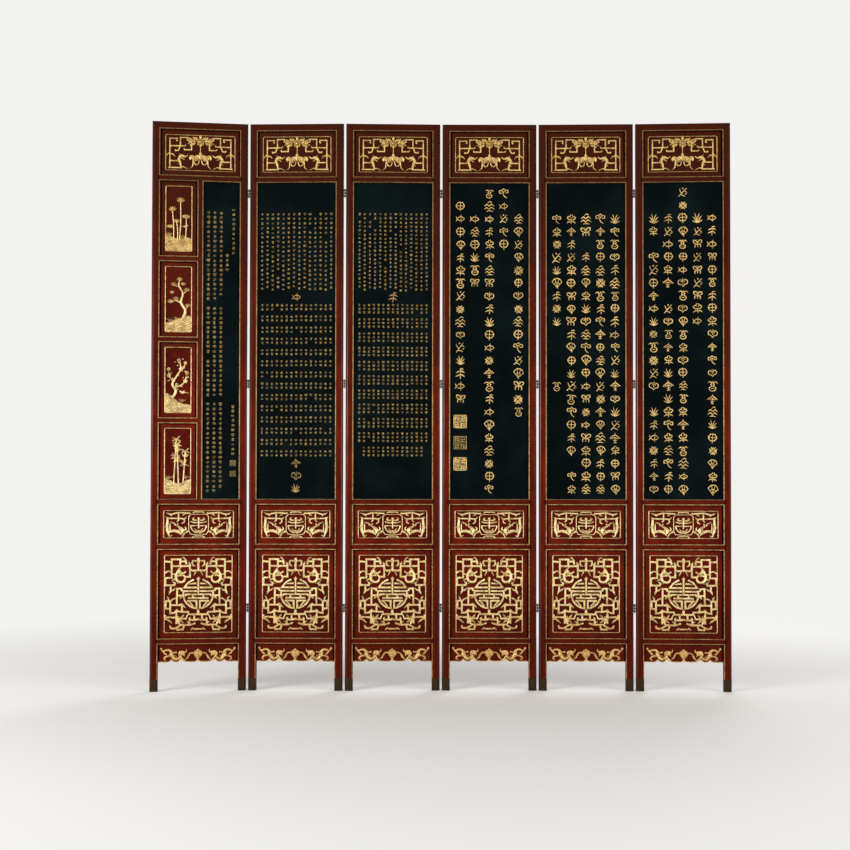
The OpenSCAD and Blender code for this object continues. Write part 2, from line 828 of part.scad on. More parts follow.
// A ring on the pivot line with a shank towards +X, through the leaf's edge
module hinge_eye() {
    bevel = (eye_r - bore_r) / 3;
    difference() {
        union() {
            rotate_extrude()
                polygon([
                    [0, -eye_h / 2], [eye_r - bevel, -eye_h / 2], [eye_r, -eye_h / 2 + bevel],
                    [eye_r, eye_h / 2 - bevel], [eye_r - bevel, eye_h / 2], [0, eye_h / 2]
                ]);
            rotate([0, 90, 0])
                cylinder(r = shank_r, h = leaf_gap / 2 + shank_l);
        }
        translate([0, 0, -eye_h / 2 - cut])
            cylinder(r = bore_r, h = eye_h + 2 * cut);
    }
}

module leaf_hinge_eyes(i) {
    color([0.3, 0.33, 0.26])
        for (z = hinge_zs) {
            if (i > 1)
                translate([-leaf_gap / 2, 0, z])
                    hinge_eye();
            if (i < leaf_count)
                for (offset = [-1, 1])
                    translate([leaf_w + leaf_gap / 2, 0, z + offset * eye_pitch])
                        mirror([1, 0, 0])
                            hinge_eye();
        }
}

// Drop-in pin: its head rests on the upper eye, its bevelled tip hangs below the lower one
module hinge_pin() {
    top = eye_pitch + eye_h / 2;
    tip = -top - pin_tail;
    rotate_extrude()
        polygon([
            [0, tip], [pin_r / 2, tip], [pin_r, tip + pin_r], [pin_r, top], [pin_head_r, top],
            [pin_head_r, top + pin_head_h / 2], [pin_head_r / 2, top + pin_head_h], [0, top + pin_head_h]
        ]);
}

module hinge_pins() {
    color([0.35, 0.37, 0.3])
        for (z = hinge_zs)
            translate([leaf_w + leaf_gap / 2, 0, z])
                hinge_pin();
}

on_leaf(1) leaf_mullion();  // leaf1_mullion
for (i = [1:leaf_count]) {
    on_leaf(i) leaf_stiles(i);
    on_leaf(i) leaf_rails(i);
    on_leaf(i) leaf_gilt_beads(i);
    on_leaf(i) leaf_lacquer_board(i);
    on_leaf(i) leaf_red_panels(i);
    on_leaf(i) leaf_apron();
    on_leaf(i) leaf_gilt_carvings(i);
    on_leaf(i) leaf_shoes();
    on_leaf(i) leaf_hinge_eyes(i);
    if (i < leaf_count)
        on_leaf(i) hinge_pins();
}
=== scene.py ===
# Looks of the six-leaf lacquer screen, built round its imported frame. Metres, front towards -Y.
import math
import random
import bmesh
import bpy
from mathutils import Matrix, Vector, noise


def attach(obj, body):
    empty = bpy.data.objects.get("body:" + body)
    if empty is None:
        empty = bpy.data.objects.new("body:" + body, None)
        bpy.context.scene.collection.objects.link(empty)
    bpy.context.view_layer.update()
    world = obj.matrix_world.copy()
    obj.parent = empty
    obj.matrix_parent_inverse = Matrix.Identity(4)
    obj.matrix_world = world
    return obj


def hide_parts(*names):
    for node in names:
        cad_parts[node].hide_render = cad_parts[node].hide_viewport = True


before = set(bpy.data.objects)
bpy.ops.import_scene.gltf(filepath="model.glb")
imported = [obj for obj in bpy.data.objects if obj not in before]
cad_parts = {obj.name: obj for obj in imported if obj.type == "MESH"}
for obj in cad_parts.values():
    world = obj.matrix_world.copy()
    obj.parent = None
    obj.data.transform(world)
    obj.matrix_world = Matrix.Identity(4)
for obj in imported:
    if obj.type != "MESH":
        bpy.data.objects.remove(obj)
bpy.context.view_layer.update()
print("frame loaded:", len(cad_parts), "nodes")

# Where each leaf stands, as in the part: turns in degrees, sizes in metres
screen = dict(leaves=6, leafWidth=0.45, gap=0.01, height=2.7, turns=[6.9, -1.7, 1.7, 0, -1.5, -2.9])


def leafMatrices():
    pitch = screen["leafWidth"] + screen["gap"]
    pivots = [Vector((0, 0, 0))]
    for turn in screen["turns"]:
        angle = math.radians(turn)
        pivots.append(pivots[-1] + pitch * Vector((math.cos(angle), math.sin(angle), 0)))
    back, front = max(p.y for p in pivots), min(p.y for p in pivots)
    middle = Vector((pivots[-1].x / 2, (front + back) / 2, 0))
    halfGap = Matrix.Translation((screen["gap"] / 2, 0, 0))
    return [Matrix.Translation(pivots[k] - middle) @ Matrix.Rotation(math.radians(turn), 4, "Z") @ halfGap
            for k, turn in enumerate(screen["turns"])]


leafAt = leafMatrices()
leafWide, leafHigh = 1000 * screen["leafWidth"], 1000 * screen["height"]   # in mm, as all of the carving is
leafMiddle = leafWide / 2


# Shader helpers: arithmetic on a Value adds Math nodes
class Value:
    def __init__(self, finish, output):
        self.finish = finish
        self.output = output

    def math(self, operation, first, second):
        return self.finish.node("ShaderNodeMath", {"operation": operation}, {0: first, 1: second})

    def __add__(self, other):
        return self.math("ADD", self, other)

    def __sub__(self, other):
        return self.math("SUBTRACT", self, other)

    def __rsub__(self, other):
        return self.math("SUBTRACT", other, self)

    def __mul__(self, other):
        return self.math("MULTIPLY", self, other)

    __radd__ = __add__
    __rmul__ = __mul__

    def __abs__(self):
        return self.math("ABSOLUTE", self, 0)

    def least(self, other):
        return self.math("MINIMUM", self, other)

    def most(self, other):
        return self.math("MAXIMUM", self, other)

    def fade(self, start, end):
        # 0 up to start, 1 from end on, smooth between them
        return self.finish.node("ShaderNodeMapRange", {"interpolation_type": "SMOOTHSTEP"},
                                {"Value": self, "From Min": start, "From Max": end})


class Tree:
    def __init__(self, tree):
        self.tree = tree

    def node(self, kind, settings=None, sockets=None, output=0):
        made = self.tree.nodes.new(kind)
        for key, value in (settings or {}).items():
            setattr(made, key, value)
        for key, value in (sockets or {}).items():
            self.feed(made.inputs[key], value)
        return Value(self, made.outputs[output])

    def feed(self, socket, value):
        if isinstance(value, Value):
            self.tree.links.new(value.output, socket)
        else:
            socket.default_value = value

    def mix(self, factor, first, second, blend="MIX"):
        # sockets 6 and 7 and output 2 are the ones for colours
        return self.node("ShaderNodeMix", {"data_type": "RGBA", "blend_type": blend},
                         {0: factor, 6: first, 7: second}, output=2)


class Finish(Tree):
    def __init__(self, name, **constants):
        self.material = bpy.data.materials.new(name)
        self.material.use_nodes = True
        super().__init__(self.material.node_tree)
        self.shader = self.tree.nodes["Principled BSDF"]
        for socket, value in constants.items():
            self.shader.inputs[socket.replace("_", " ")].default_value = value
        self.where = self.node("ShaderNodeTexCoord", output="Object")

    def stretched(self, x, y, z):
        return self.node("ShaderNodeVectorMath", {"operation": "MULTIPLY"}, {0: self.where, 1: (x, y, z)})

    def cloud(self, scale, detail=3, where=None, rough=0.55):
        return self.node("ShaderNodeTexNoise", None, {"Vector": where or self.where, "Scale": scale,
                                                      "Detail": detail, "Roughness": rough})

    def part(self, axis):
        return self.node("ShaderNodeSeparateXYZ", None, {0: self.where}, output=axis)

    def bump(self, height, strength, distance):
        normal = self.node("ShaderNodeBump", None, {"Height": height, "Strength": strength,
                                                    "Distance": distance})
        self.feed(self.shader.inputs["Normal"], normal)

    def over(self, tone, colour, factor, blend="MIX"):
        # the tone with a colour laid over it where factor is 1
        return self.mix(factor, tone, paint(*colour), blend)

    def set(self, **sockets):
        for socket, value in sockets.items():
            self.feed(self.shader.inputs[socket.replace("_", " ")], value)


def paint(red, green, blue):
    # an sRGB colour from 0 to 255 as a linear one
    levels = [c / 255 for c in (red, green, blue)]
    return tuple(c / 12.92 if c <= 0.04045 else ((c + 0.055) / 1.055) ** 2.4 for c in levels) + (1,)


# Finishes: colours are red, green and blue from 0 to 255; strengths and covers run from 0 to 1
# high, with its span and cover, is painted shade: the red darkens towards the top of the screen; low makes it
# darker towards the bottom
redLook = dict(base=(99, 26, 7), deep=(70, 17, 6), bright=(130, 40, 13), high=(52, 21, 9), low=(62, 15, 5),
               wear=(146, 84, 52), crack=(34, 10, 8), dirtAndShade=(22, 8, 6), shade=(40, 10, 5), roughness=0.4,
               gloss=0.03, highFrom=1.2, highTo=2.55, highCover=0.85, lowFrom=0.1, lowTo=0.8, lowCover=0.6)
# Widths of the frame's members, the rails' middles and the depth of the frame's face, in mm
joinery = dict(stile=38, rails=(235.5, 680.5, 893.5, 2429.5), railHalf=14.5, railPoint=9.5, topRail=40,
               mitreHalf=1.6, face=-13)
# Dirt in the joints and painted shade under each rail, in metres: each line of it is full up to the first
# distance and gone at the second
dirtAndShade = dict(shoulder=(0.0007, 0.0024), rail=(0.0142, 0.0158), tip=(0.0012, 0.0042), tipRail=(0.003, 0.009),
            mitre=(0.0006, 0.002), mitreFoot=(2.658, 2.664), front=(-0.004, 0.0), under=(0.0015, 0.0055),
            turn=0.002)


def shoulderDirt(finish):
    # 1 on the fine dark lines of the pointed shoulders and of the top mitres, on the front
    across, high = finish.part(0), finish.part(2)
    fromEdge = across.least(screen["leafWidth"] - across)
    near = None
    for rail in joinery["rails"]:
        away = abs(high - rail / 1000)
        near = away if near is None else near.least(away)
    point = (joinery["railPoint"] - joinery["stile"]) / 1000
    slant = abs(fromEdge + near * (-joinery["railPoint"] / joinery["railHalf"]) + point)
    onShoulder = (1 - slant.fade(*dirtAndShade["shoulder"])) * (1 - near.fade(*dirtAndShade["rail"]))
    mitre = abs(screen["height"] - high - fromEdge)
    onMitre = (1 - mitre.fade(*dirtAndShade["mitre"])) * high.fade(*dirtAndShade["mitreFoot"])
    onTip = (1 - abs(fromEdge + point).fade(*dirtAndShade["tip"])) * (1 - near.fade(*dirtAndShade["tipRail"]))
    return (onShoulder + onMitre).most(onTip) * (1 - finish.part(1).fade(*dirtAndShade["front"]))


def railShade(finish):
    # 1 along the lower edge of each rail's face, where it turns under; used as painted shade
    shade = None
    for rail in joinery["rails"]:
        lowerEdge = (rail - joinery["railHalf"]) / 1000 + dirtAndShade["turn"]
        band = 1 - abs(finish.part(2) - lowerEdge).fade(*dirtAndShade["under"])
        shade = band if shade is None else shade.most(band)
    return shade


# Polish on a leaf's half-round outer edges: where it fades across and up, in metres, and what it loses there
polish = dict(left=(0.005, 0.012), right=(0.01, 0.005), rightShare=0.5, height=(1.3, 2.2), loss=0.85)


def redLacquer(name, look, grain, wear=0.0, shine=False, seams=False, under=False):
    # grain is how often the pattern repeats along x, y and z, in times per metre
    finish = Finish(name, Specular_IOR_Level=look["gloss"], Coat_Roughness=0.16)
    across, up = finish.part(0), finish.part(2)
    blotch = finish.cloud(4.5, 5)
    streak = finish.cloud(1, 4, finish.stretched(*grain))
    smudge = finish.cloud(14, 4)
    cracks = finish.node("ShaderNodeTexVoronoi", {"feature": "DISTANCE_TO_EDGE"},
                         {"Vector": finish.stretched(46, 46, 30), "Scale": 1})
    crackLine = (1 - cracks.fade(0.0, 0.03)) * smudge.fade(0.5, 0.62)
    tone = finish.over(paint(*look["deep"]), look["base"], blotch.fade(0.38, 0.66))
    tone = finish.over(tone, look["bright"], streak.fade(0.5, 0.78) * 0.55)
    # painted shade: darker towards the top, where less light falls; and darker towards the bottom
    tone = finish.over(tone, look["high"], up.fade(look["highFrom"], look["highTo"]) * look["highCover"])
    tone = finish.over(tone, look["low"], (1 - up.fade(look["lowFrom"], look["lowTo"])) * look["lowCover"])
    if seams:
        tone = finish.over(tone, look["dirtAndShade"], shoulderDirt(finish) * 0.85)
    # painted shade along the lower edge of each rail's face
    if under:
        tone = finish.over(tone, look["shade"], railShade(finish) * 0.55)
    tone = finish.over(tone, look["crack"], crackLine * 0.55)
    if wear:
        worn = finish.cloud(60, 5).fade(0.62 - wear * 0.25, 0.74 - wear * 0.25)
        tone = finish.over(tone, look["wear"], worn * 0.7)
    if shine:
        rightFrom, rightTo = (screen["leafWidth"] - inset for inset in polish["right"])
        rounded = 1 - across.fade(*polish["left"]) + across.fade(rightFrom, rightTo) * polish["rightShare"]
        finish.set(Coat_Weight=rounded * (1 - up.fade(*polish["height"]) * polish["loss"]))
    finish.set(Base_Color=tone, Roughness=look["roughness"] + smudge.fade(0.35, 0.7) * 0.2)
    finish.bump(streak * 0.5 + finish.cloud(160, 3) * 0.3 - crackLine * 0.6, 0.25, 0.0006)
    return finish.material


blackLook = dict(base=(4, 10, 11), haze=(11, 21, 22), brown=(13, 14, 12), speck=(52, 54, 50),
                 roughness=0.34)


def blackLacquer(name, look):
    finish = Finish(name, Specular_IOR_Level=0.02)
    blotch = finish.cloud(3.2, 5)
    smudge = finish.cloud(17, 5)
    scratch = finish.cloud(1, 2, finish.stretched(900, 200, 22)).fade(0.72, 0.8)
    speck = finish.cloud(420, 2).fade(0.7, 0.78)
    tone = finish.over(paint(*look["base"]), look["haze"], blotch.fade(0.4, 0.7))
    tone = finish.over(tone, look["brown"], smudge.fade(0.6, 0.8) * 0.6)
    tone = finish.over(tone, look["speck"], scratch * 0.25 + speck * 0.2)
    finish.set(Base_Color=tone, Roughness=look["roughness"] + smudge.fade(0.3, 0.7) * 0.22)
    finish.bump(blotch * 0.6 + finish.cloud(90, 3) * 0.25, 0.18, 0.0008)
    return finish.material


# painted shade: the gilt is dimmed towards the top of the screen and towards the floor
goldLook = dict(base=(234, 204, 128), pale=(255, 250, 216), deep=(182, 140, 68), bole=(120, 48, 24),
                topShade=(232, 220, 190), lowShade=(226, 206, 180), dirtAndShade=(66, 34, 16), metallic=0.35,
                roughness=0.32, topShadeFrom=1.2, topShadeTo=2.5, lowShadeFrom=0.2, lowShadeTo=0.5, shadeFrom=-0.0024,
                shadeTo=-0.0048)


def goldLeaf(name, look, wear=0.3, depth=True):
    finish = Finish(name, Specular_IOR_Level=0.5)
    patch = finish.cloud(38, 4)
    fine = finish.cloud(210, 4)
    up = finish.part(2)
    tone = finish.over(paint(*look["deep"]), look["base"], patch.fade(0.36, 0.6))
    tone = finish.over(tone, look["pale"], fine.fade(0.46, 0.66) * 0.8)
    # painted shade, dimmer towards the top and towards the floor
    tone = finish.over(tone, look["topShade"], up.fade(look["topShadeFrom"], look["topShadeTo"]), "MULTIPLY")
    tone = finish.over(tone, look["lowShade"], 1 - up.fade(look["lowShadeFrom"], look["lowShadeTo"]), "MULTIPLY")
    worn = finish.cloud(95, 6, rough=0.7).fade(0.68 - wear * 0.2, 0.78 - wear * 0.2)
    tone = finish.over(tone, look["bole"], worn * 0.75)
    metal = (1 - worn) * look["metallic"]
    if depth:   # old dirt and painted shade low down, where the carving meets its ground
        outOfRecess = finish.part(1).fade(look["shadeFrom"], look["shadeTo"])
        tone = finish.over(tone, look["dirtAndShade"], (1 - outOfRecess) * 0.85)
        metal = metal * outOfRecess
    finish.set(Base_Color=tone, Metallic=metal, Roughness=look["roughness"] + patch.fade(0.4, 0.7) * 0.18)
    finish.bump(fine * 0.6 + finish.cloud(520, 2) * 0.2 + patch * 0.6, 0.5, 0.0007)
    return finish.material


shoeLook = dict(base=(54, 37, 20), green=(41, 36, 23), worn=(100, 64, 32), pit=(22, 17, 12), gloss=0.12)
hingeLook = dict(base=(70, 82, 66), green=(92, 116, 92), worn=(128, 116, 78), pit=(22, 17, 12), gloss=0.3)


def patina(name, look):
    finish = Finish(name, Specular_IOR_Level=look["gloss"])
    patch = finish.cloud(30, 5)
    pits = finish.cloud(190, 4)
    rub = finish.cloud(70, 5, rough=0.7).fade(0.53, 0.7)
    tone = finish.over(paint(*look["base"]), look["green"], patch.fade(0.42, 0.68))
    tone = finish.over(tone, look["pit"], pits.fade(0.54, 0.66) * 0.75)
    tone = finish.over(tone, look["worn"], rub * 0.7)
    finish.set(Base_Color=tone, Metallic=0.25 + rub * 0.4,
               Roughness=0.5 + patch.fade(0.3, 0.7) * 0.2 - rub * 0.15)
    finish.bump(pits * 0.7 + patch * 0.3, 0.4, 0.0006)
    return finish.material


upright, level, every = (130, 130, 5), (5, 130, 130), (30, 30, 30)   # ways that the grain can run
stileRed = redLacquer("stileRed", redLook, upright, shine=True, seams=True)
railRed = redLacquer("railRed", redLook, level, seams=True, under=True)
edgeRed = redLacquer("edgeRed", dict(redLook, roughness=0.3, gloss=0.3), upright, wear=0.4)
seamRed = redLacquer("seamRed", dict(redLook, base=(44, 11, 8), deep=(26, 8, 6), bright=(60, 17, 12),
                                     high=(34, 14, 10)), every)
panelRed = redLacquer("panelRed", dict(redLook, base=(110, 27, 9), bright=(134, 40, 14), deep=(80, 19, 7)),
                      (9, 90, 70))
# painted shade: a darker red for the sunk grounds round the carving
groundShadeRed = redLacquer("groundShadeRed", dict(redLook, base=(94, 19, 7), bright=(112, 26, 9), deep=(68, 12, 6),
                                         high=(54, 20, 10)), (30, 90, 30))
# painted shade: near-black red in the quirks beside the beads, on the beads' sides and on the apron's slab, a
# little lighter towards the top
quirkShadow = redLacquer("quirkShadow", dict(redLook, base=(16, 8, 7), deep=(9, 6, 6), bright=(28, 11, 9),
                                       high=(36, 15, 9), low=(14, 7, 6), gloss=0.0), every)
boardBlack = blackLacquer("boardBlack", blackLook)
carvedGold = goldLeaf("carvedGold", goldLook)
lineLook = dict(goldLook, base=(208, 170, 112), pale=(242, 210, 160), deep=(156, 120, 66), bole=(92, 42, 22),
                topShade=(172, 154, 122), metallic=0.2)
# painted shade: a dimmer copy of the line gilt, for the crowns of the level beads
shadedLevelLook = dict(goldLook, base=(166, 130, 74), pale=(206, 168, 104), deep=(112, 82, 42), bole=(80, 38, 20),
                topShade=(186, 170, 140), metallic=0.2)
faintLook = dict(goldLook, base=(98, 72, 46), pale=(132, 100, 66), deep=(62, 44, 28), bole=(50, 26, 16),
                 metallic=0.1)
markLook = dict(goldLook, base=(222, 184, 108), pale=(250, 222, 150), deep=(170, 132, 70),
                topShade=(250, 246, 240), metallic=0.15, roughness=0.42)
smallLook = dict(markLook, base=(168, 136, 70), pale=(212, 174, 96), deep=(100, 84, 50), roughness=0.45)
lineGold = goldLeaf("lineGold", lineLook, 0.6, False)
shadedLevelGold = goldLeaf("shadedLevelGold", shadedLevelLook, 0.8, False)
faintGold = goldLeaf("faintGold", faintLook, 0.9, False)
markGold = goldLeaf("markGold", markLook, 0.1, False)
smallGold = goldLeaf("smallGold", smallLook, 0.3, False)
shoeBronze = patina("shoeBronze", shoeLook)
hingeBronze = patina("hingeBronze", hingeLook)
print("finishes made")


# Carving: closed strokes and knobs in mm, drawn in X and Z, with heights towards the front.
# A section is half the stroke's width across, from -1 to 1, against its height, from 0 to 1
sections = dict(
    fret=[(-1, 0), (-0.98, 0.62), (-0.62, 0.96), (0, 1), (0.62, 0.96), (0.98, 0.62), (1, 0)],
    round=[(-1, 0), (-0.93, 0.45), (-0.6, 0.85), (0, 1), (0.6, 0.85), (0.93, 0.45), (1, 0)],
    leaf=[(-1, 0), (-0.88, 0.5), (-0.45, 0.96), (0, 0.6), (0.45, 0.96), (0.88, 0.5), (1, 0)],
    flat=[(-1, 0), (-0.8, 1), (0.8, 1), (1, 0)],
)
# Depths in mm: where a stroke starts under its ground, and the grounds of the sunk fields and of the aprons
depths = dict(start=-0.3, field=-1, apron=-5)


def smoothPath(path, loop, step):
    # smooth curve through points (x, z, width), with about one point every step
    count = len(path)
    out = []
    for k in range(count if loop else count - 1):
        p0, p1, p2, p3 = (path[(k + j) % count] if loop else path[min(max(k + j, 0), count - 1)]
                          for j in (-1, 0, 1, 2))
        pieces = max(2, math.ceil(math.dist(p1[:2], p2[:2]) / step))
        for j in range(pieces):
            t = j / pieces
            out.append(tuple(0.5 * (2 * b + (c - a) * t + (2 * a - 5 * b + 4 * c - d) * t * t
                                    + (3 * b - a - 3 * c + d) * t ** 3)
                             for a, b, c, d in zip(p0, p1, p2, p3)))
    if not loop:
        out.append(path[-1])
    return out


def outwardMesh(name, points, faces, materials):
    # a mesh with all of its faces turned outwards
    mesh = bpy.data.meshes.new(name)
    mesh.from_pydata(points, [], faces)
    shape = bmesh.new()
    shape.from_mesh(mesh)
    bmesh.ops.recalc_face_normals(shape, faces=shape.faces)
    shape.to_mesh(mesh)
    shape.free()
    for material in materials:
        mesh.materials.append(material)
    return mesh


class Carving:
    def __init__(self, ground=0.0):
        self.ground = ground     # depth of the ground, in mm
        self.bold = 1.0          # widens every stroke
        self.place = (0.0, 0.0, 1.0, 0.0)   # x, z, scale and turn of what is drawn next
        self.points = []
        self.faces = []
        self.count = 0

    def at(self, x, z, scale=1.0, turn=0.0, ground=None, bold=1.0):
        self.place = (x, z, scale, math.radians(turn))
        self.bold = bold
        if ground is not None:
            self.ground = ground
        return self

    def solid(self, rings, sides=(1,), loop=False):
        px, pz, scale, turn = self.place
        c, s = math.cos(turn) * scale, math.sin(turn) * scale
        size = len(rings[0])
        for side in sides:
            base = len(self.points)
            for ring in rings:
                for x, z, h in ring:
                    x *= side
                    self.points.append(((px + c * x - s * z) / 1000, (self.ground - h) / 1000,
                                        (pz + s * x + c * z) / 1000))
            for k in range(len(rings) if loop else len(rings) - 1):
                a, b = base + k * size, base + (k + 1) % len(rings) * size
                for j in range(size):
                    self.faces.append((a + j, a + (j + 1) % size, b + (j + 1) % size, b + j))
            if not loop:
                last = base + (len(rings) - 1) * size
                self.faces.append(tuple(range(base, base + size)))
                self.faces.append(tuple(range(last, last + size)))

    def sweep(self, path, width, height, section="fret", ends="flat", curve=False, loop=False,
              sides=(1,), step=3.0):
        # a stroke along a path; a third number in a point is the width there
        path = [(p[0], p[1], p[2] if len(p) > 2 else width) for p in path]
        if curve:
            path = smoothPath(path, loop, step)
        points = [Vector(p[:2]) for p in path]
        count = len(points)
        height += 0.04 * (self.count % 7)   # strokes that cross never lie face in face
        self.count += 1
        rings = []

        def ring(point, across, half, lift):
            return [(point.x + across.x * u * half, point.y + across.y * u * half,
                     depths["start"] if v == 0 else v * lift) for u, v in sections[section]]

        for k, point in enumerate(points):
            before = (point - points[k - 1]).normalized() if k or loop else None
            after = (points[(k + 1) % count] - point).normalized() if k < count - 1 or loop else None
            first, second = before or after, after or before
            left = Vector((-first.y, first.x))
            across = left + Vector((-second.y, second.x))
            across = across.normalized() if across.length > 0.01 else left
            across /= max(across.dot(left), 0.5)
            half = max(path[k][2] * self.bold, 0.02) / 2
            if ends == "round" and not loop and k in (0, count - 1):
                way = -second if k == 0 else first
                cap = [ring(point + way * half * math.sin(t), across, half * math.cos(t),
                            height * (0.45 + 0.55 * math.cos(t))) for t in (0.0, 0.6, 1.1, 1.45)]
                rings += reversed(cap) if k == 0 else cap
            else:
                rings.append(ring(point, across, half, height))
        self.solid(rings, sides, loop)

    def petal(self, x, z, length, width, turn, height, sides=(1,), section="leaf"):
        # a pointed leaf from (x, z) outwards
        angle = math.radians(turn)
        way = (math.cos(angle), math.sin(angle))
        shape = [(0, 0.25), (0.15, 0.7), (0.4, 1), (0.65, 0.85), (0.88, 0.4), (1, 0.06)]
        self.sweep([(x + way[0] * length * t, z + way[1] * length * t, width * w) for t, w in shape],
                   width, height, section, sides=sides)

    def limb(self, path, height, section="round", sides=(1, -1)):
        # a curved stroke with round ends and a width at each point, mirrored unless told otherwise
        self.sweep(path, 0, height, section, "round", True, sides=sides)

    def knob(self, x, z, radius, height, sides=(1,), corners=12, squash=1.0, levels=4):
        # a dome of rings; squash flattens it across
        rings = []
        for level in range(levels):
            t = level / (levels - 0.6) * math.pi / 2
            r = radius * math.cos(t) ** 0.8
            h = depths["start"] if level == 0 else height * math.sin(t)
            turns = [2 * math.pi * k / corners for k in range(corners)]
            rings.append([(x + r * math.cos(a), z + r * squash * math.sin(a), h) for a in turns])
        self.solid(rings, sides)

    def knobs(self, spots, height, corners=10):
        # a pair of knobs at each (x, z, radius), one on each side of the middle
        for x, z, radius in spots:
            self.knob(x, z, radius, height, (1, -1), corners)

    def build(self, name, material, smoothAngle=38):
        mesh = outwardMesh(name, self.points, self.faces, [material])
        mesh.shade_smooth()
        mesh.set_sharp_from_angle(angle=math.radians(smoothAngle))
        return mesh


def addPiece(name, mesh, leaf, replaces=None, matrix=None):
    piece = bpy.data.objects.new(name, mesh)
    bpy.context.scene.collection.objects.link(piece)
    if matrix:
        piece.matrix_world = matrix
    bpy.context.view_layer.update()
    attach(piece, "leaf" + str(leaf))
    if replaces:
        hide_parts(replaces)
    return piece


single, both = (1,), (1, -1)   # drawn once, or on both sides of the middle


def arc(x, z, radius, start, end, count):
    turns = [math.radians(start + (end - start) * k / count) for k in range(count + 1)]
    return [(x + radius * math.cos(a), z + radius * math.sin(a)) for a in turns]


# Sunk fields of the red panels: x and z of the middle, width and height
fields = dict(skirt=(leafMiddle, 458, 320, 370), waist=(leafMiddle, 787, 330, 134),
              top=(leafMiddle, 2553, 330, 174))
picture = dict(x=125.5, foot=908, width=127, margin=20, inset=1.5, opening=355.75, pitch=383.75,
               count=4)


def pictureField(index):
    z = picture["foot"] + picture["pitch"] * index + picture["opening"] / 2
    return picture["x"], z, picture["width"], picture["opening"] - 2 * picture["margin"]


# Fillet round a sunk field; level is the width of its level runs against that of its uprights
fillet = dict(width=5, topWidth=4.2, height=6, radius=8, level=0.78)


def addFillet(carving, field, thick=fillet["width"]):
    x, z, width, height = field
    inset = fillet["width"] / 2
    r = fillet["radius"] - inset
    hw, hh = width / 2 - inset - r, height / 2 - inset - r
    path = []
    for sx, sz, start in ((1, 1, 0), (-1, 1, 90), (-1, -1, 180), (1, -1, 270)):
        path += [(px, pz, thick * (1 - (1 - fillet["level"]) * ((pz - sz * hh) / r) ** 2))
                 for px, pz in arc(sx * hw, sz * hh, r, start, start + 90, 5)]
    carving.at(x, z, ground=depths["field"]).sweep(path, thick, fillet["height"], "round", loop=True)


# Bars of the fret drawn once and mirrored, each an open path
skirtFret = [
    [(158, 151), (150, 153), (129, 151)],
    [(124, 72), (124, 163), (78, 163)],
    [(85, 163), (84, 133)],
    [(84, 153), (58, 153), (56, 139)],
    [(124, 131), (38, 131)],
    [(39, 142), (39, 80), (62, 80)],
    [(156, 75), (130, 76)],
    [(153, 75), (153, 41), (112, 41), (110, 49)],
    [(128, 41), (128, 14), (134, 5)],
    [(77, 13), (77, 24), (98, 25), (99, -10), (100, -52)],
    [(100, -8), (74, -8)],
    [(153, -33), (130, -34)],
    [(151, -33), (151, -69), (134, -71)],
    [(130, -35), (130, -91), (112, -89), (101, -81), (77, -85), (46, -86), (43, -97), (0, -97)],
    [(130, -53), (79, -53)],
    [(75, -54), (75, -84)],
    [(101, -85), (101, -141)],
    [(153, -99), (153, -122)],
    [(153, -112), (140, -110), (103, -112)],
    [(36, -122), (18, -124), (0, -120)],
    [(18, -98), (18, -123)],
    [(40, -118), (41, -146)],
    [(130, -151), (128, -161), (110, -164), (94, -156), (79, -146), (39, -147), (18, -141)],
    [(98, -159), (97, -169), (71, -168), (66, -151)],
]
# Curved and tapered strokes as (points with widths, section)
skirtCurls = [
    ([(74, 173, 3), (67, 169, 8), (57, 158, 7)], "leaf"),
    ([(44, 151, 3), (42, 144, 9), (38, 134, 8)], "leaf"),
    ([(154, 99, 9), (148, 104, 8), (139, 107, 7), (126, 104, 7)], "round"),
    ([(112, 41, 8), (108, 50, 8), (117, 56, 5)], "round"),
    ([(134, 3, 3), (127, 14, 7), (118, 17, 8), (105, 27, 4)], "leaf"),
    ([(136, -2, 4), (131, 8, 7)], "leaf"),
    ([(86, -23, 3), (80, -16, 9), (73, -9, 7)], "leaf"),
    ([(128, -33, 7), (114, -23, 8), (101, -21, 6)], "leaf"),
    ([(146, -12, 4), (139, -20, 8), (138, -34, 8)], "leaf"),
    ([(80, -46, 6), (71, -54, 9), (57, -68, 3)], "leaf"),
    ([(148, -118, 8), (134, -127, 9), (123, -137, 5)], "leaf"),
    ([(52, -131, 4), (40, -138, 7)], "round"),
    ([(41, -118, 8), (37, -112, 5)], "round"),
    ([(104, -79, 8), (97, -73, 5)], "leaf"),
]
# A dragon as strokes and knobs: coil, crest, snout, jaw, mane and claws
upperDragon = [
    ([(88, 108, 12), (100, 96, 12), (104, 78, 12), (98, 62, 12), (82, 55, 10), (67, 60, 10), (62, 74, 8),
      (66, 86, 7)], "round"),
    ([(98, 108, 6), (90, 117, 8), (80, 126, 4)], "leaf"),
    ([(94, 104, 13), (82, 100, 12), (70, 97, 8), (60, 104, 7)], "round"),
    ([(86, 92, 7), (76, 92, 7), (67, 84, 6)], "leaf"),
    ([(96, 84, 7), (88, 87, 7), (80, 86, 6)], "round"),
    ([(123, 96, 4), (112, 92, 7), (102, 94, 6)], "leaf"),
    ([(103, 70, 8), (113, 69, 8), (122, 63, 4)], "leaf"),
    ([(90, 56, 6), (98, 48, 3)], "leaf"),
]
upperKnobs = [(90, 104, 5), (60, 104, 5), (80, 86, 4.5), (99, 96, 5)]
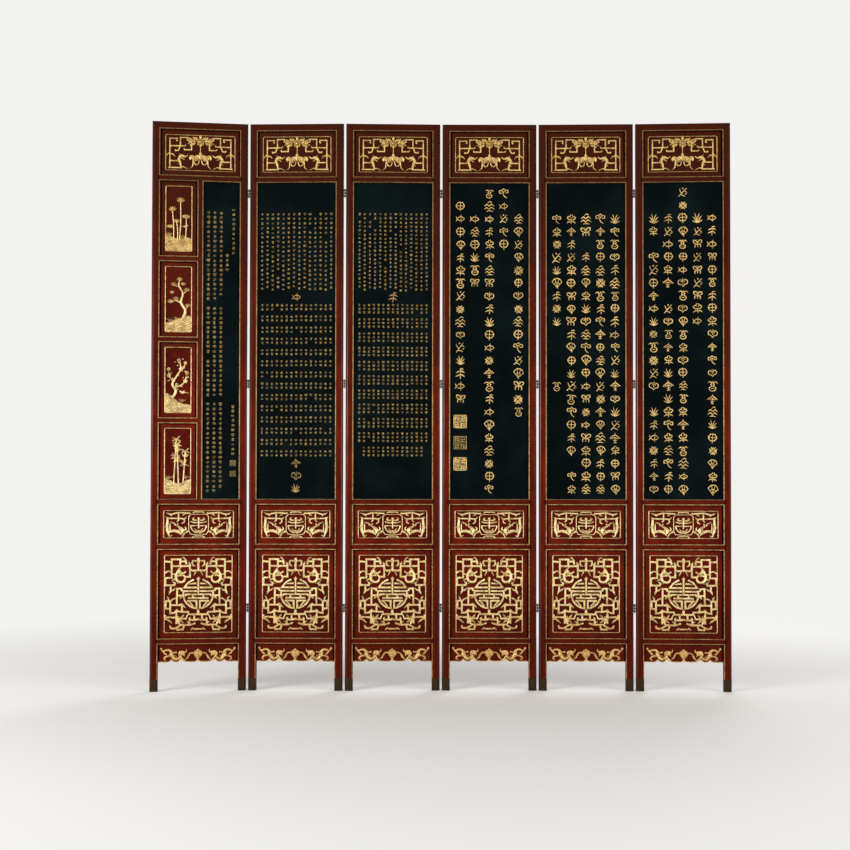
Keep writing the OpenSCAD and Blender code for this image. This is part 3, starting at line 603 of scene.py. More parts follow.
lowerDragon = [
    ([(98, -106, 6), (96, -120, 11), (92, -134, 11), (84, -146, 7)], "round"),
    ([(66, -98, 4), (71, -104, 8), (79, -113, 8)], "leaf"),
    ([(88, -120, 12), (78, -118, 12), (66, -117, 8), (57, -119, 7), (53, -108, 6), (48, -98, 6)], "round"),
    ([(86, -127, 8), (77, -130, 8), (67, -138, 4)], "leaf"),
    ([(92, -104, 3), (88, -110, 7)], "leaf"),
]
lowerKnobs = [(84, -119, 5), (60, -118, 5), (76, -130, 4)]


def drawStrokes(c, strokes, height):
    for path, section in strokes:
        c.limb(path, height, section)


def longevityRoundel(c, r):
    # ring and bars; a third number in a bar's point widens or narrows it there
    w, h = 0.12 * r, 5.6

    def bar(*path, sides=(1,), section="fret", lift=0.0):
        c.sweep([(x * r, z * r, w * v) for x, z, v in path], w, h + lift, section, sides=sides)

    for start, end, count in ((24, 73, 14), (14, -79, 24)):
        c.sweep(arc(0, 0, r - w / 2, start, end, count), w, h, sides=both)
    bar((-0.93, 0.4, 1), (-0.09, 0.4, 1), sides=both)
    bar((-0.97, 0.17, 1), (-0.09, 0.17, 1), sides=both)
    bar((0.12, 0.66, 1), (0.3, 0.66, 1), (0.56, 0.62, 0.3), sides=both)
    bar((0.82, -0.15, 1), (0.78, -0.04, 1), (-0.78, -0.04, 1), (-0.82, -0.15, 1))
    bar((0.33, -0.04, 1), (0.33, -0.27, 1), sides=both)
    bar((-0.64, -0.27, 1), (0.64, -0.27, 1))
    bar((0.68, -0.45, 1), (0.11, -0.45, 1), (0.11, -0.98, 1), sides=both)
    bar((0.56, -0.5, 1), (0.3, -0.8, 0.7), sides=both)
    bar((0, -0.02, 1.1), (0, 0.9, 1.1), (0, 0.94, 2.4), (0, 1.1, 0.6 / w), section="leaf", lift=0.4)
    c.limb([(0, -1.02 * r, 0.1 * r), (0, -1.14 * r, 0.2 * r), (0, -1.3 * r, 0.12 * r)], h, sides=single)


# Heights in mm above the ground, the fret's width, and how much bolder its strokes and the curls are drawn
skirt = dict(roundel=74, fretWidth=6.6, fret=5.2, curls=4.9, dragons=5.4, knobs=6.4, fretBold=1.38,
             curlBold=1.1)
skirtJoints = [(124, 131), (39, 131), (85, 162), (124, 162), (128, 41), (152, 153), (101, -82), (130, -53),
               (75, -84), (18, -120), (0, -118), (16, -140), (130, -153)]


def carveSkirt(c, x, z):
    c.at(x, z, ground=depths["field"])
    longevityRoundel(c, skirt["roundel"])
    c.bold = skirt["fretBold"]
    for path in skirtFret:
        c.sweep(path, skirt["fretWidth"], skirt["fret"], sides=both)
    c.bold = skirt["curlBold"]
    drawStrokes(c, skirtCurls, skirt["curls"])
    drawStrokes(c, upperDragon + lowerDragon, skirt["dragons"])
    c.knobs(upperKnobs + lowerKnobs, skirt["knobs"])
    # bat at the top and its tassel
    c.sweep([(0, 156, 8), (27, 156, 8), (29, 144, 8), (26, 135, 8), (17, 131, 5)], 8, 5, "leaf", "round",
            sides=both)
    body = [(0, 164, 12), (0, 152, 14), (0, 142, 9), (0, 134, 12), (0, 122, 9), (0, 110, 11)]
    c.limb(body, 5.6, sides=single)
    c.knob(0, 161, 7.5, 6, corners=12)
    c.limb([(33, 114, 6), (28, 109, 8), (14, 111, 7), (0, 112, 8)], 5, "fret")
    c.limb([(11, 110, 8), (15, 98, 7), (20, 88, 5)], 4.8, "leaf")
    # small bar with upturned ends
    foot = [(-34, -170, 5), (-25, -162, 8), (-18, -166, 7), (18, -166, 7), (25, -162, 8), (34, -170, 5)]
    c.sweep(foot, 6, 4.8)
    c.knobs([(u, v, 5.4) for u, v in skirtJoints], 6, 8)


waistFret = [
    [(129, 46), (96, 55), (64, 53), (44, 51)],
    [(93.5, 54), (93.5, 18)],
    [(145, 28), (80, 27), (66, 24)],
]
waistCurls = [
    ([(150, 54, 4), (140, 49, 9), (130, 46, 8), (127, 39, 6)], "leaf"),
    ([(62, 52, 6), (67, 46, 8), (74, 42, 5)], "leaf"),
    ([(93, 24, 6), (96, 17, 9), (101, 11, 4)], "leaf"),
    ([(152, 34, 5), (145, 28, 9), (136, 28, 7)], "leaf"),
    ([(74, 25, 7), (64, 26, 9), (57, 34, 4)], "leaf"),
    ([(71, 25, 6), (66, 16, 8), (69, 8, 7), (76, 5, 6)], "round"),
    ([(131, 11, 5), (121, 7, 7), (112, 3, 7), (108, -6, 6)], "leaf"),
    ([(144, -2, 6), (150, -8, 7), (159, -15, 4)], "leaf"),
    ([(138, -55, 6), (131, -57, 7), (124, -52, 4)], "leaf"),
]
waistDragon = [
    ([(145, 30, 9), (145, 10, 12), (147, -10, 13), (145, -30, 14), (141, -42, 11), (136, -57, 6)], "round"),
    ([(133, 4, 4), (133, -12, 7), (133, -31, 6)], "round"),
    ([(140, -40, 9), (127, -33, 12), (112, -31, 14), (98, -35, 14), (86, -43, 10), (79, -51, 4)], "round"),
    ([(96, 3, 5), (100, -7, 9), (91, -13, 11), (82, -20, 17), (76, -29, 19), (78, -38, 14)], "leaf"),
    ([(63, -13, 5), (59, -22, 8), (66, -29, 7), (74, -32, 8)], "round"),
    ([(54, -37, 8), (64, -42, 8), (70, -50, 9), (76, -63, 5)], "leaf"),
    ([(88, -24, 4), (92, -30, 5), (88, -35, 3)], "round"),
]
waistKnobs = [(86, -22, 4.5), (53, -35, 6), (109, -2, 5), (128, 45, 5), (42, 52, 5), (93.5, 27, 5),
              (97, 1, 4)]
waist = dict(fretWidth=7.2, fret=4.8, curls=4.8, dragons=5.4, knobs=6.2)


def carveWaist(c, x, z):
    c.at(x, z, ground=depths["field"])
    # eight-sided cartouche with a cap and a foot
    c.sweep([(0, 47), (36, 47), (46, 36), (46, -32), (37, -47), (0, -50)], 4.2, 4.2, "round", sides=both)
    c.sweep([(0, 58), (20, 58), (27, 53)], 5, 4.6, sides=both)
    c.sweep([(0, -56, 5), (20, -56, 5), (29, -63, 5)], 5, 4.4, sides=both)
    # small roundel
    c.sweep(arc(0, -4, 37, -4, -88, 16), 7, 5.2, "round", sides=both)
    c.sweep([(0, -7), (38, -7)], 5.6, 5.1, sides=both)
    c.sweep([(0, 7), (22, 7.5), (37, 13)], 6.2, 5.2, sides=both)
    c.limb([(0, 22, 10), (0, 8, 7), (0, -18, 7)], 5.6, sides=single)
    c.knob(0, 27, 7, 5.8, corners=12)
    c.limb([(20, 33, 3), (26, 25, 10), (19, 19, 10), (6, 19, 6)], 5.2, "leaf")
    c.limb([(18, -21, 5), (11, -31, 9), (0, -34, 11)], 5, "leaf")
    c.knob(0, -31, 5, 6, corners=10)
    for path in waistFret:
        c.sweep(path, waist["fretWidth"], waist["fret"], sides=both)
    drawStrokes(c, waistCurls, waist["curls"])
    drawStrokes(c, waistDragon, waist["dragons"])
    c.knobs(waistKnobs, waist["knobs"])


topFret = [
    [(143, -72), (143, 67), (109, 67), (109, 57), (114, 54)],
    [(143, 31), (92, 32), (72, 32), (69, 39)],
    [(60, 58), (60, 72), (94, 72), (94, 34), (104, 10), (117, 8), (119, 14)],
    [(42, 46), (42, 14), (74, 14), (77, 20)],
    [(143, -40), (98, -40)],
    [(151, -73), (92, -72)],
]
topCurls = [
    ([(142, -2, 9), (152, -8, 8), (163, -20, 5)], "leaf"),
    ([(142, -8, 8), (128, -9, 9), (119, -19, 4)], "leaf"),
    ([(92, -70, 7), (82, -67, 6), (72, -70, 5), (60, -76, 3)], "round"),
    # rearing dragon beside the fret
    ([(92, -72, 9), (93, -56, 10), (97, -41, 12), (101, -28, 13), (94, -18, 15), (84, -15, 14),
      (71, -19, 9), (59, -12, 5)], "round"),
    ([(90, -24, 9), (82, -29, 7), (74, -34, 3)], "leaf"),
    ([(105, -28, 6), (109, -36, 4)], "leaf"),
    ([(96, -48, 6), (105, -54, 4)], "leaf"),
    ([(92, -10, 5), (98, -5, 3)], "leaf"),
]
top = dict(fretWidth=6.8, fret=4.8, curls=5.2, knobs=6.2, leaves=5.2, berries=6.4)
# Leaves beside the blossom: x and z, length, width and turn
topLeaves = [(20, 54, 24, 15, 20), (24, 60, 22, 13, 55), (22, 48, 24, 14, -22), (36, 52, 22, 14, 8),
             (38, 58, 18, 12, 50), (36, 46, 20, 12, -38), (12, 66, 18, 12, 35), (50, 48, 14, 9, -20)]


def carveTop(c, x, z):
    c.at(x, z, ground=depths["field"])
    for path in topFret:
        c.sweep(path, top["fretWidth"], top["fret"], sides=both)
    drawStrokes(c, topCurls, top["curls"])
    c.knobs([(143, -1, 5), (92, 33, 5), (90, -19, 4)], top["knobs"])
    # blossom with a leafy cluster to each side
    for k in range(9):
        a = math.radians(90 + 40 * k)
        c.petal(7 * math.cos(a), 54 + 7 * math.sin(a), 13, 10, math.degrees(a), 5.6)
    c.knob(0, 54, 7, 6.8, corners=14)
    c.knob(0, 76, 7, 5.8, corners=12)
    c.sweep([(0, 84, 5), (0, 74, 9)], 6, 5, "round", "round")
    for leaf in topLeaves:
        c.petal(*leaf, top["leaves"], both)
    c.knobs([(27, 56, 5.5), (41, 53, 5), (18, 66, 4.5), (30, 46, 4.5), (12, 40, 4)], top["berries"])
    c.limb([(x, z, 5) for x, z in arc(56, 64, 6.5, 200, 520, 10)], 5.4)
    c.petal(0, 44, 18, 14, -90, 5.4)
    c.sweep([(0, 32, 4), (0, 0, 4)], 3, 4.4, "round")
    # lower bat with rounded wings
    c.knob(0, -3, 7.5, 5.8, corners=12)
    c.limb([(0, -6, 12), (0, -19, 18), (0, -30, 8)], 5.8, sides=single)
    c.limb([(3, -13, 13), (16, -18, 17), (29, -24, 20), (41, -22, 16)], 5.4)
    c.limb([(36, -14, 8), (45, -15, 9), (50, -23, 8), (47, -32, 6)], 5.6)
    c.knob(41, -24, 5.5, 6.8, both, 12)
    c.limb([(8, -27, 9), (20, -34, 11), (32, -38, 9)], 5, "leaf")
    c.limb([(34, -36, 8), (35, -50, 6), (38, -64, 6), (50, -75, 3)], 4.8)
    c.limb([(29, -44, 4), (24, -54, 6), (14, -55, 6), (8, -47, 6), (6, -36, 6)], 4.8)
    c.knobs([(u, v, 3.4) for u, v in ((8, -14), (18, -20), (10, -25), (28, -27))], 6.8, 8)


# Apron: lobes from the middle outwards as (start, rise there, flat from, flat to, end, rise there)
apron = dict(half=187, quirk=6.5, topQuirk=4, top=221, foot=136, tongue=4, slab=(-1, 5), field=(-5, -0.9),
             steps=90, line=4.5, lineHeight=3.6, lineReach=0.985, carving=4.2, knobs=4.7,
             lobes=[(0, 9, 19, 40, 82, 13), (82, 13, 98, 103, 125, 10.5), (125, 10.5, 145, 186, 187, 0)])


def apronLift(u):
    u = abs(u)
    for start, rise, flatFrom, flatTo, end, endRise in apron["lobes"]:
        if u < flatFrom:
            return rise * ((flatFrom - u) / (flatFrom - start)) ** 2
        if u <= end:
            return endRise * (max(u - flatTo, 0) / (end - flatTo)) ** 2
    return 0


apronVine = [
    ([(12, 36, 7), (20, 43, 8), (28, 44, 8), (37, 41, 8), (44, 31, 10), (50, 20, 9), (60, 12, 6)], "leaf"),
    ([(82, 31, 8), (76, 21, 8), (70, 12, 9), (60, 7, 5)], "round"),
    ([(84, 26, 10), (86, 38, 13), (80, 47, 14), (70, 46, 14), (64, 38, 10)], "round"),
    ([(68, 50, 9), (60, 47, 9), (54, 51, 7), (53, 60, 4)], "round"),
    ([(70, 35, 7), (63, 32, 6), (60, 26, 3)], "leaf"),
    ([(82, 29, 10), (90, 19, 11), (103, 15, 12), (114, 22, 15), (122, 33, 16), (126, 43, 13), (120, 50, 8)],
     "leaf"),
    ([(119, 42, 11), (128, 54, 11), (140, 59, 10), (152, 56, 9), (162, 52, 8), (171, 64, 7)], "round"),
    ([(161, 52, 8), (155, 43, 8), (148, 38, 7)], "round"),
    ([(118, 41, 9), (110, 46, 8), (102, 47, 6)], "round"),
    ([(120, 26, 9), (132, 30, 9), (144, 28, 9), (154, 23, 8), (157, 15, 7), (150, 11, 5)], "round"),
    ([(98, 21, 4), (104, 30, 6), (112, 34, 4)], "leaf"),
]
apronKnobs = [(74, 41, 9), (171, 64, 6), (148, 38, 5), (102, 47, 5), (156, 18, 5), (80, 28, 5), (45, 30, 5)]


def carveApron(c, x, z):
    c.at(x, z, ground=depths["apron"])
    # cloud-shaped head, then the vine that runs out from it into a beast's head and tail
    c.limb([(0, 58, 10), (0, 50, 25), (0, 40, 33), (0, 28, 24), (0, 16, 12), (0, 5, 5)], 3.2, sides=single)
    c.limb([(2, 55, 7), (12, 51, 8), (17, 41, 8), (12, 29, 7), (4, 17, 4)], apron["carving"], "leaf")
    c.limb([(0, 54, 7), (0, 36, 10), (0, 14, 5)], 4.4, "leaf", single)
    c.knob(0, 57, 6, 4.6, corners=12)
    drawStrokes(c, apronVine, apron["carving"])
    c.knobs(apronKnobs, apron["knobs"])
    # gilt line along the cusped edge
    edge = []
    for k in range(2 * apron["steps"] + 1):
        u = apron["half"] * (k / apron["steps"] - 1)
        edge.append((u * apron["lineReach"], apronLift(u) + apron["line"] / 2))
    c.sweep(edge, apron["line"], apron["lineHeight"], "round")


def apronBoard():
    # the board of each apron: a raised field on a slab, both with the cusped lower edge
    points, faces, materials = [], [], []

    def prism(half, top, front, back, frontMaterial, edgeMaterial):
        steps = [-half + half * k / apron["steps"] for k in range(2 * apron["steps"] + 1)]
        outline = [(u, apron["foot"] + apronLift(u)) for u in steps] + [(half, top), (-half, top)]
        base, size = len(points), len(outline)
        for y in (front, back):
            points.extend(((leafMiddle + u) / 1000, y / 1000, v / 1000) for u, v in outline)
        faces.append(tuple(base + k for k in range(size)))
        faces.append(tuple(base + size + k for k in reversed(range(size))))
        for k in range(size):
            after = (k + 1) % size
            faces.append((base + k, base + size + k, base + size + after, base + after))
        materials.extend([frontMaterial, 0] + [0] * (size - 3) + [edgeMaterial] * 3)

    # the slab's front, seen in the quirk, and the field's sides and top take the quirk's painted shade
    prism(apron["half"] + apron["tongue"], apron["top"] + apron["tongue"], *apron["slab"], 1, 0)
    prism(apron["half"] - apron["quirk"], apron["top"] - apron["topQuirk"], *apron["field"], 0, 1)
    mesh = outwardMesh("apronBoard", points, faces, [panelRed, quirkShadow])
    mesh.polygons.foreach_set("material_index", materials)
    return mesh


def carveLeaf():
    c = Carving()
    for name, carve, thick in (("skirt", carveSkirt, fillet["width"]),
                               ("waist", carveWaist, fillet["width"]),
                               ("top", carveTop, fillet["topWidth"])):
        addFillet(c, fields[name], thick)
        carve(c, *fields[name][:2])
    carveApron(c, leafMiddle, apron["foot"])
    return c


# Pictures of the end leaf: rocks along the foot, and a plant out of them.
# Rocks have ridges at a gap in mm, which wander by bend. Their height is made of low, high and rough, and is
# never under least; uneven is how far their tops rise and fall.
rocks = dict(columns=84, rows=56, gap=10.5, bend=1.1, low=1.5, high=4.3, rough=0.8, least=1.2, uneven=3)


def rockMass(c, width, profile, seed, slant):
    # a carved mass with an uneven top, hatched with slanting ridges
    columns, rows = rocks["columns"], rocks["rows"]
    rings = []
    for k in range(columns + 1):
        x = -width / 2 + width * k / columns
        t = k / columns * (len(profile) - 1)
        j = min(int(t), len(profile) - 2)
        top = profile[j] + (profile[j + 1] - profile[j]) * (t - j)
        top += rocks["uneven"] * noise.noise(Vector((x / 9, seed, 0)))
        ring = [(x, 0, depths["start"])]
        for row in range(rows + 1):
            z = top * row / rows
            bend = rocks["bend"] * noise.noise(Vector((x / 26, z / 26, seed)))
            ridge = abs(math.sin(math.pi * ((x * slant + z) / rocks["gap"] + bend)))
            grit = rocks["rough"] * noise.noise(Vector((x / 12, z / 8, seed + 9)))
            fall = min(1, (1 - row / rows) * 7 + 0.3, (0.5 - abs(k / columns - 0.5)) * 30 + 0.5)
            ring.append((x, z, max(rocks["least"], (rocks["low"] + rocks["high"] * ridge + grit) * fall)))
        ring.append((x, top, depths["start"]))
        rings.append(ring)
    c.solid(rings)


def blossom(c, x, z, r, height=5.0):
    for k in range(5):
        a = math.radians(90 + 72 * k)
        c.knob(x + r * 0.6 * math.cos(a), z + r * 0.6 * math.sin(a), r * 0.46, height, corners=8, levels=3)
    c.knob(x, z, r * 0.28, height + 1, corners=8, levels=3)


def bough(c, path, height=5.0):
    c.limb(path, height, sides=single)


def songbird(c, x, z, size, side):
    # side is 1 for a bird that looks right and -1 for one that looks left
    def spots(*points):
        return [(x + side * u * size, z + v * size, w * size) for u, v, w in points]

    body = spots((-0.9, 0.15, 0.14), (-0.4, 0.1, 0.5), (0.1, 0.05, 0.7), (0.5, 0.3, 0.42), (0.72, 0.42, 0.34))
    c.limb(body, 5.6, sides=single)
    c.knob(x + side * 0.66 * size, z + 0.42 * size, 0.25 * size, 6.2, corners=10)
    c.sweep(spots((0.78, 0.42, 0.18), (1.05, 0.4, 0.06)), 1, 4.8, "round")
    c.limb(spots((0.2, 0.2, 0.25), (-0.2, 0.42, 0.36), (-0.6, 0.62, 0.1)), 6.2, "leaf", single)
    c.limb(spots((-0.7, 0.1, 0.22), (-1.25, 0.0, 0.26), (-1.6, -0.1, 0.1)), 5, "leaf", single)


def grass(c, x, z, size):
    for turn in (35, 60, 84, 112, 140):
        c.petal(x, z, size * (0.8 + 0.2 * (turn % 3)), 4.2, turn, 4.6)


def bamboo(c):
    foot, joints = 52, 5
    for x, lean, top, thick in ((-18, 12, 262, 8), (4, -6, 238, 8), (26, 10, 205, 7)):
        for k in range(joints):
            t0, t1 = k / joints, (k + 0.95) / joints
            z0, z1 = foot + (top - foot) * t0, foot + (top - foot) * t1
            c.sweep([(x + lean * t0, z0, thick), (x + lean * t1, z1, thick - 1)], 4, 4.6, "round", "round")
            for turn in (40, 68, -24, 128, 156, 204):
                if k > 1 and (k + turn) % 3:
                    c.petal(x + lean * t1, z1, 28 - k, 8.5, turn, 5)
    grass(c, -44, 70, 26)
    grass(c, 40, 72, 22)


plumFlowers = [(34, 152, 11), (42, 190, 10), (-42, 178, 10), (-44, 208, 9), (14, 208, 11), (34, 238, 9),
               (4, 250, 10), (-6, 134, 9), (16, 130, 8), (-26, 160, 8), (24, 216, 8)]
plumLeaves = [(-12, 110, 20), (6, 176, 150), (28, 200, -20), (-36, 156, 200), (40, 164, 60), (12, 236, 160)]


def plum(c):
    # a blossoming bough with a bird on it
    bough(c, [(-24, 76, 14), (-10, 104, 13), (-26, 136, 11), (-8, 172, 9), (12, 206, 7), (8, 244, 4)])
    bough(c, [(-18, 122, 9), (10, 130, 7), (32, 150, 6), (40, 182, 3)])
    bough(c, [(-18, 150, 8), (-38, 170, 6), (-44, 198, 3)])
    bough(c, [(2, 190, 6), (26, 214, 5), (34, 240, 3)])
    for flower in plumFlowers:
        blossom(c, *flower)
    for x, z in ((24, 168), (-32, 190), (-2, 226), (22, 256), (-14, 242), (48, 170)):
        c.knob(x, z, 3.6, 5, corners=8)
    for x, z, turn in plumLeaves:
        c.petal(x, z, 16, 7, turn, 4.6)
    songbird(c, 22, 96, 18, -1)
    grass(c, 20, 52, 22)


pineTufts = [(-36, 146, 19), (-12, 160, 18), (38, 202, 18), (44, 128, 15), (-20, 228, 19), (6, 252, 18),
             (22, 230, 15), (-30, 190, 13)]


def pine(c):
    # layered tufts of needles
    bough(c, [(24, 70, 15), (32, 104, 13), (12, 142, 12), (20, 184, 9), (2, 222, 7), (6, 248, 4)])
    bough(c, [(16, 138, 9), (-12, 150, 7), (-34, 144, 5)])
    bough(c, [(18, 180, 7), (38, 196, 5)])
    bough(c, [(30, 108, 7), (44, 122, 5)])
    bough(c, [(8, 214, 6), (-18, 222, 5)])
    for x, z, r in pineTufts:
        for k in range(9):
            c.petal(x, z - r * 0.3, r * (0.9 + 0.15 * (k % 2)), 5.2, 12 + 19.5 * k, 4.4 + 0.15 * (k % 3))
        c.knob(x, z - r * 0.3, 3.4, 5.4, corners=8)
    grass(c, -36, 48, 24)
    grass(c, -8, 58, 20)


def lotus(c):
    # stems out of the water, two flowers and three leaves with their veins
    for x0, x1, z1 in ((-24, -30, 194), (4, 8, 234), (30, 34, 166), (-6, -10, 144)):
        bough(c, [(x0, 58, 6), ((x0 + x1) / 2 + 3, (54 + z1) / 2, 5.5), (x1, z1, 5)], 4.4)
    for x, z, r in ((-30, 198, 23), (8, 240, 25)):
        for turn, size in ((90, 1), (58, 1), (122, 1), (28, 0.9), (152, 0.9), (74, 0.8), (106, 0.8)):
            c.petal(x, z - 4, r * size, r * 0.46, turn, 5.2)
    for x, z, r in ((34, 168, 20), (-12, 146, 18), (-40, 120, 17)):
        c.knob(x, z, r, 3.6, corners=22, squash=0.55, levels=3)
        for k in range(9):
            a = math.radians(20 + 40 * k)
            tip = (x + r * 0.9 * math.cos(a), z + r * 0.48 * math.sin(a), 1.4)
            c.sweep([(x, z, 2), tip], 1.2, 4.4, "round")
    songbird(c, 30, 118, 15, 1)
    grass(c, -44, 74, 24)
    grass(c, 14, 64, 26)


# From the lowest picture up: what grows there, the rocks' tops from the left and the slant of their ridges
pictureParts = [(bamboo, (78, 70, 58, 50, 56, 68, 74), 0.5), (plum, (96, 90, 74, 56, 46, 42, 40), 0.75),
                (pine, (44, 50, 56, 64, 74, 80, 78), -0.55), (lotus, (82, 78, 66, 60, 66, 70, 62), -0.8)]


def carvePicture(c, index):
    grow, profile, slant = pictureParts[index]
    foot = picture["foot"] + picture["pitch"] * index + picture["margin"] + picture["inset"]
    c.at(picture["x"], foot, ground=depths["field"])
    rockMass(c, picture["width"] - 2 * picture["inset"], profile, 3 + 7 * index, slant)
    grow(c)


# Gilt marks on the black boards: plain ornaments in brush strokes, set in columns
def mirrored(*paths):
    return [list(path) for path in paths] + [[(-x, z, w) for x, z, w in path] for path in paths]


# Strokes (x, z, width), in hundredths of half an ornament's size and of its stroke's width
ornaments = dict(
    bamboo=[[(2, -95, 80), (6, 10, 60), (2, 95, 50)], [(4, 80, 50), (35, 90, 110), (65, 78, 20)],
            [(4, 50, 50), (40, 42, 120), (85, 15, 20)], [(3, 45, 50), (-35, 38, 120), (-80, 10, 20)],
            [(5, -10, 50), (40, -25, 120), (80, -60, 20)], [(3, -15, 50), (-35, -30, 120), (-85, -55, 20)]],
    orchid=mirrored([(-10, -90, 70), (-50, 0, 90), (-90, 35, 20)],
                    [(-10, -85, 60), (-60, -60, 90), (-90, -40, 20)])
    + [[(-5, -90, 70), (-20, 10, 90), (-42, 95, 20)], [(0, -90, 70), (15, 20, 90), (50, 85, 20)]],
    plum=[[(-80, -90, 90), (-20, -20, 80), (20, 30, 70), (75, 90, 40)],
          [(-20, -20, 70), (-55, 20, 70), (-70, 75, 30)],
          [(20, 30, 60), (60, 20, 60), (90, -15, 30)], [(-50, -50, 60), (10, -65, 80), (50, -90, 30)],
          [(-15, 75, 120), (8, 85, 120)], [(50, -35, 120), (70, -30, 120)]],
    cloud=mirrored([(0, -75, 60), (30, -35, 90), (80, -20, 90), (85, 35, 90), (45, 62, 80), (20, 40, 60),
                    (40, 15, 50)])
    + [[(0, -20, 80), (0, 85, 60)]],
    fungus=[[(55, -90, 50), (10, -60, 90), (-12, -10, 80), (0, 30, 70)],
            [(-25, 10, 50), (-80, 10, 90), (-75, 60, 90), (-30, 62, 70), (0, 92, 90)],
            [(25, 10, 50), (80, 10, 90), (75, 60, 90), (30, 62, 70), (0, 92, 90)],
            [(-40, 35, 60), (40, 35, 60)]],
    chime=mirrored([(0, 60, 100), (35, 42, 100), (95, -5, 80)], [(0, 18, 80), (60, -12, 60)],
                   [(0, -60, 80), (28, -88, 30)])
    + [[(0, 98, 60), (0, 60, 70)], [(0, 15, 70), (0, -92, 80)], [(-32, -40, 60), (32, -40, 60)]],
    lantern=mirrored([(40, 70, 70), (75, 30, 90), (72, -10, 90), (40, -45, 70)])
    + [[(-55, 75, 90), (55, 75, 80)], [(-50, -50, 80), (50, -50, 90)], [(0, 98, 60), (0, -95, 70)],
       [(-70, 12, 60), (70, 12, 60)]],
    butterfly=mirrored([(0, 10, 60), (35, 70, 90), (85, 75, 100), (80, 25, 90), (10, -5, 50)],
                       [(10, -10, 60), (60, -25, 100), (55, -80, 60)], [(0, 35, 40), (20, 92, 30)])
    + [[(0, 35, 90), (0, -75, 50)]],
    wave=[[(-95, -50, 50), (-50, -15, 100), (-10, -55, 80), (35, -15, 100), (90, -60, 30)],
          [(-90, 10, 50), (-45, 45, 100), (-5, 5, 80), (40, 45, 100), (90, 0, 30)],
          [(-60, -90, 40), (0, -80, 100), (60, -95, 30)], [(-30, 65, 40), (15, 95, 90), (50, 70, 50)]],
    fan=[[(-90, 25, 80), (-45, 75, 90), (10, 88, 90), (65, 62, 90), (90, 10, 80)],
         [(-90, 25, 70), (-5, -75, 70)], [(90, 10, 70), (0, -75, 70)], [(-30, 78, 50), (-3, -70, 50)],
         [(35, 76, 50), (0, -70, 50)],
         [(0, -70, 80), (12, -98, 100)], [(-50, -10, 50), (0, 10, 60), (50, -15, 50)]],
    carp=[[(-70, -5, 40), (-25, 40, 90), (40, 35, 90), (85, 0, 50)],
          [(-70, -5, 40), (-20, -40, 90), (45, -30, 80), (85, 0, 50)],
          [(-95, 50, 30), (-70, -5, 100), (-98, -50, 30)], [(0, 40, 80), (20, 85, 30)],
          [(0, -40, 70), (20, -80, 30)], [(5, 25, 50), (15, 0, 60), (5, -25, 50)]],
    gourd=mirrored([(10, 55, 60), (32, 35, 90), (12, 8, 80), (60, -30, 90), (40, -78, 90), (0, -90, 80)])
    + [[(0, 95, 40), (12, 75, 70), (0, 58, 60)], [(-5, 62, 50), (-50, 82, 110), (-90, 60, 20)],
       [(15, 65, 40), (60, 82, 100), (92, 50, 20)], [(-25, -40, 60), (25, -40, 60)]],
    knot=mirrored([(80, 45, 70), (-45, -80, 70)], [(45, 80, 70), (-80, -45, 70)],
                  [(0, 70, 70), (70, 0, 70), (0, -70, 70)]),
    peony=mirrored([(0, -15, 50), (45, -10, 100), (80, 30, 80), (45, 55, 90), (15, 30, 60)],
                   [(30, 60, 80), (10, 92, 90)], [(0, -55, 50), (50, -50, 120), (85, -80, 20)])
    + [[(0, 10, 90), (0, -95, 60)]],
)
# Sizes in mm, each with the width of its strokes against half the size; marks from curvedFrom up are smoothed
marks = dict(large=(50, 0.21), feature=(48, 0.2), medium=(16.5, 0.25), small=(12.5, 0.3), height=0.7,
             curvedFrom=30, ground=-5)
# How far a mark's size, place, turn in degrees and width of stroke vary, as in handwork
unevenness = dict(size=(0.86, 1.04), shift=0.03, rise=0.04, turn=5, width=(0.8, 1.1))
placing = ("shift", "rise", "turn")


def drawOrnament(c, name, width, curved):
    for path in ornaments[name]:
        points = [(x / 100, z / 100, w / 100 * width) for x, z, w in path]
        c.sweep(points, width, marks["height"], "flat", curve=curved and len(path) > 2)


def markColumn(c, x, top, rows, pitch, kind, dice, skip=0.0):
    size, width = marks[kind]
    last = None
    for k in rows:
        name = dice.choice([n for n in ornaments if n != last])
        last = name
        if dice.random() < skip:
            continue
        scale = size / 2 * dice.uniform(*unevenness["size"])
        shift, rise, turn = (dice.uniform(-unevenness[way], unevenness[way]) for way in placing)
        c.at(x + shift * size, top - k * pitch + rise * size, scale, turn)
        drawOrnament(c, name, width * dice.uniform(*unevenness["width"]), size > marks["curvedFrom"])


def latticeSquare(c, x, z, size, weight):
    # a gilt square with a little lattice in each quarter; weight is a bar's width against half the square
    high = marks["height"]
    for turn in range(4):
        c.at(x, z, size / 2, 90 * turn)
        c.sweep([(-0.97, 0.92), (0.97, 0.92)], weight * 0.9, high, "flat")
        c.sweep([(0, 0), (0.9, 0)], weight * 0.6, high * 0.8, "flat")
        for k in range(3):
            c.sweep([(0.16, 0.2 + 0.26 * k), (0.8, 0.2 + 0.26 * k)], weight, high, "flat")
        for k in range(2):
            u = 0.28 + 0.36 * k
            c.sweep([(u, 0.2 + 0.26 * k), (u, 0.46 + 0.26 * k)], weight, high * 0.9, "flat")


def rowsOf(*spans):
    return [row for first, last in spans for row in range(first, last + 1)]


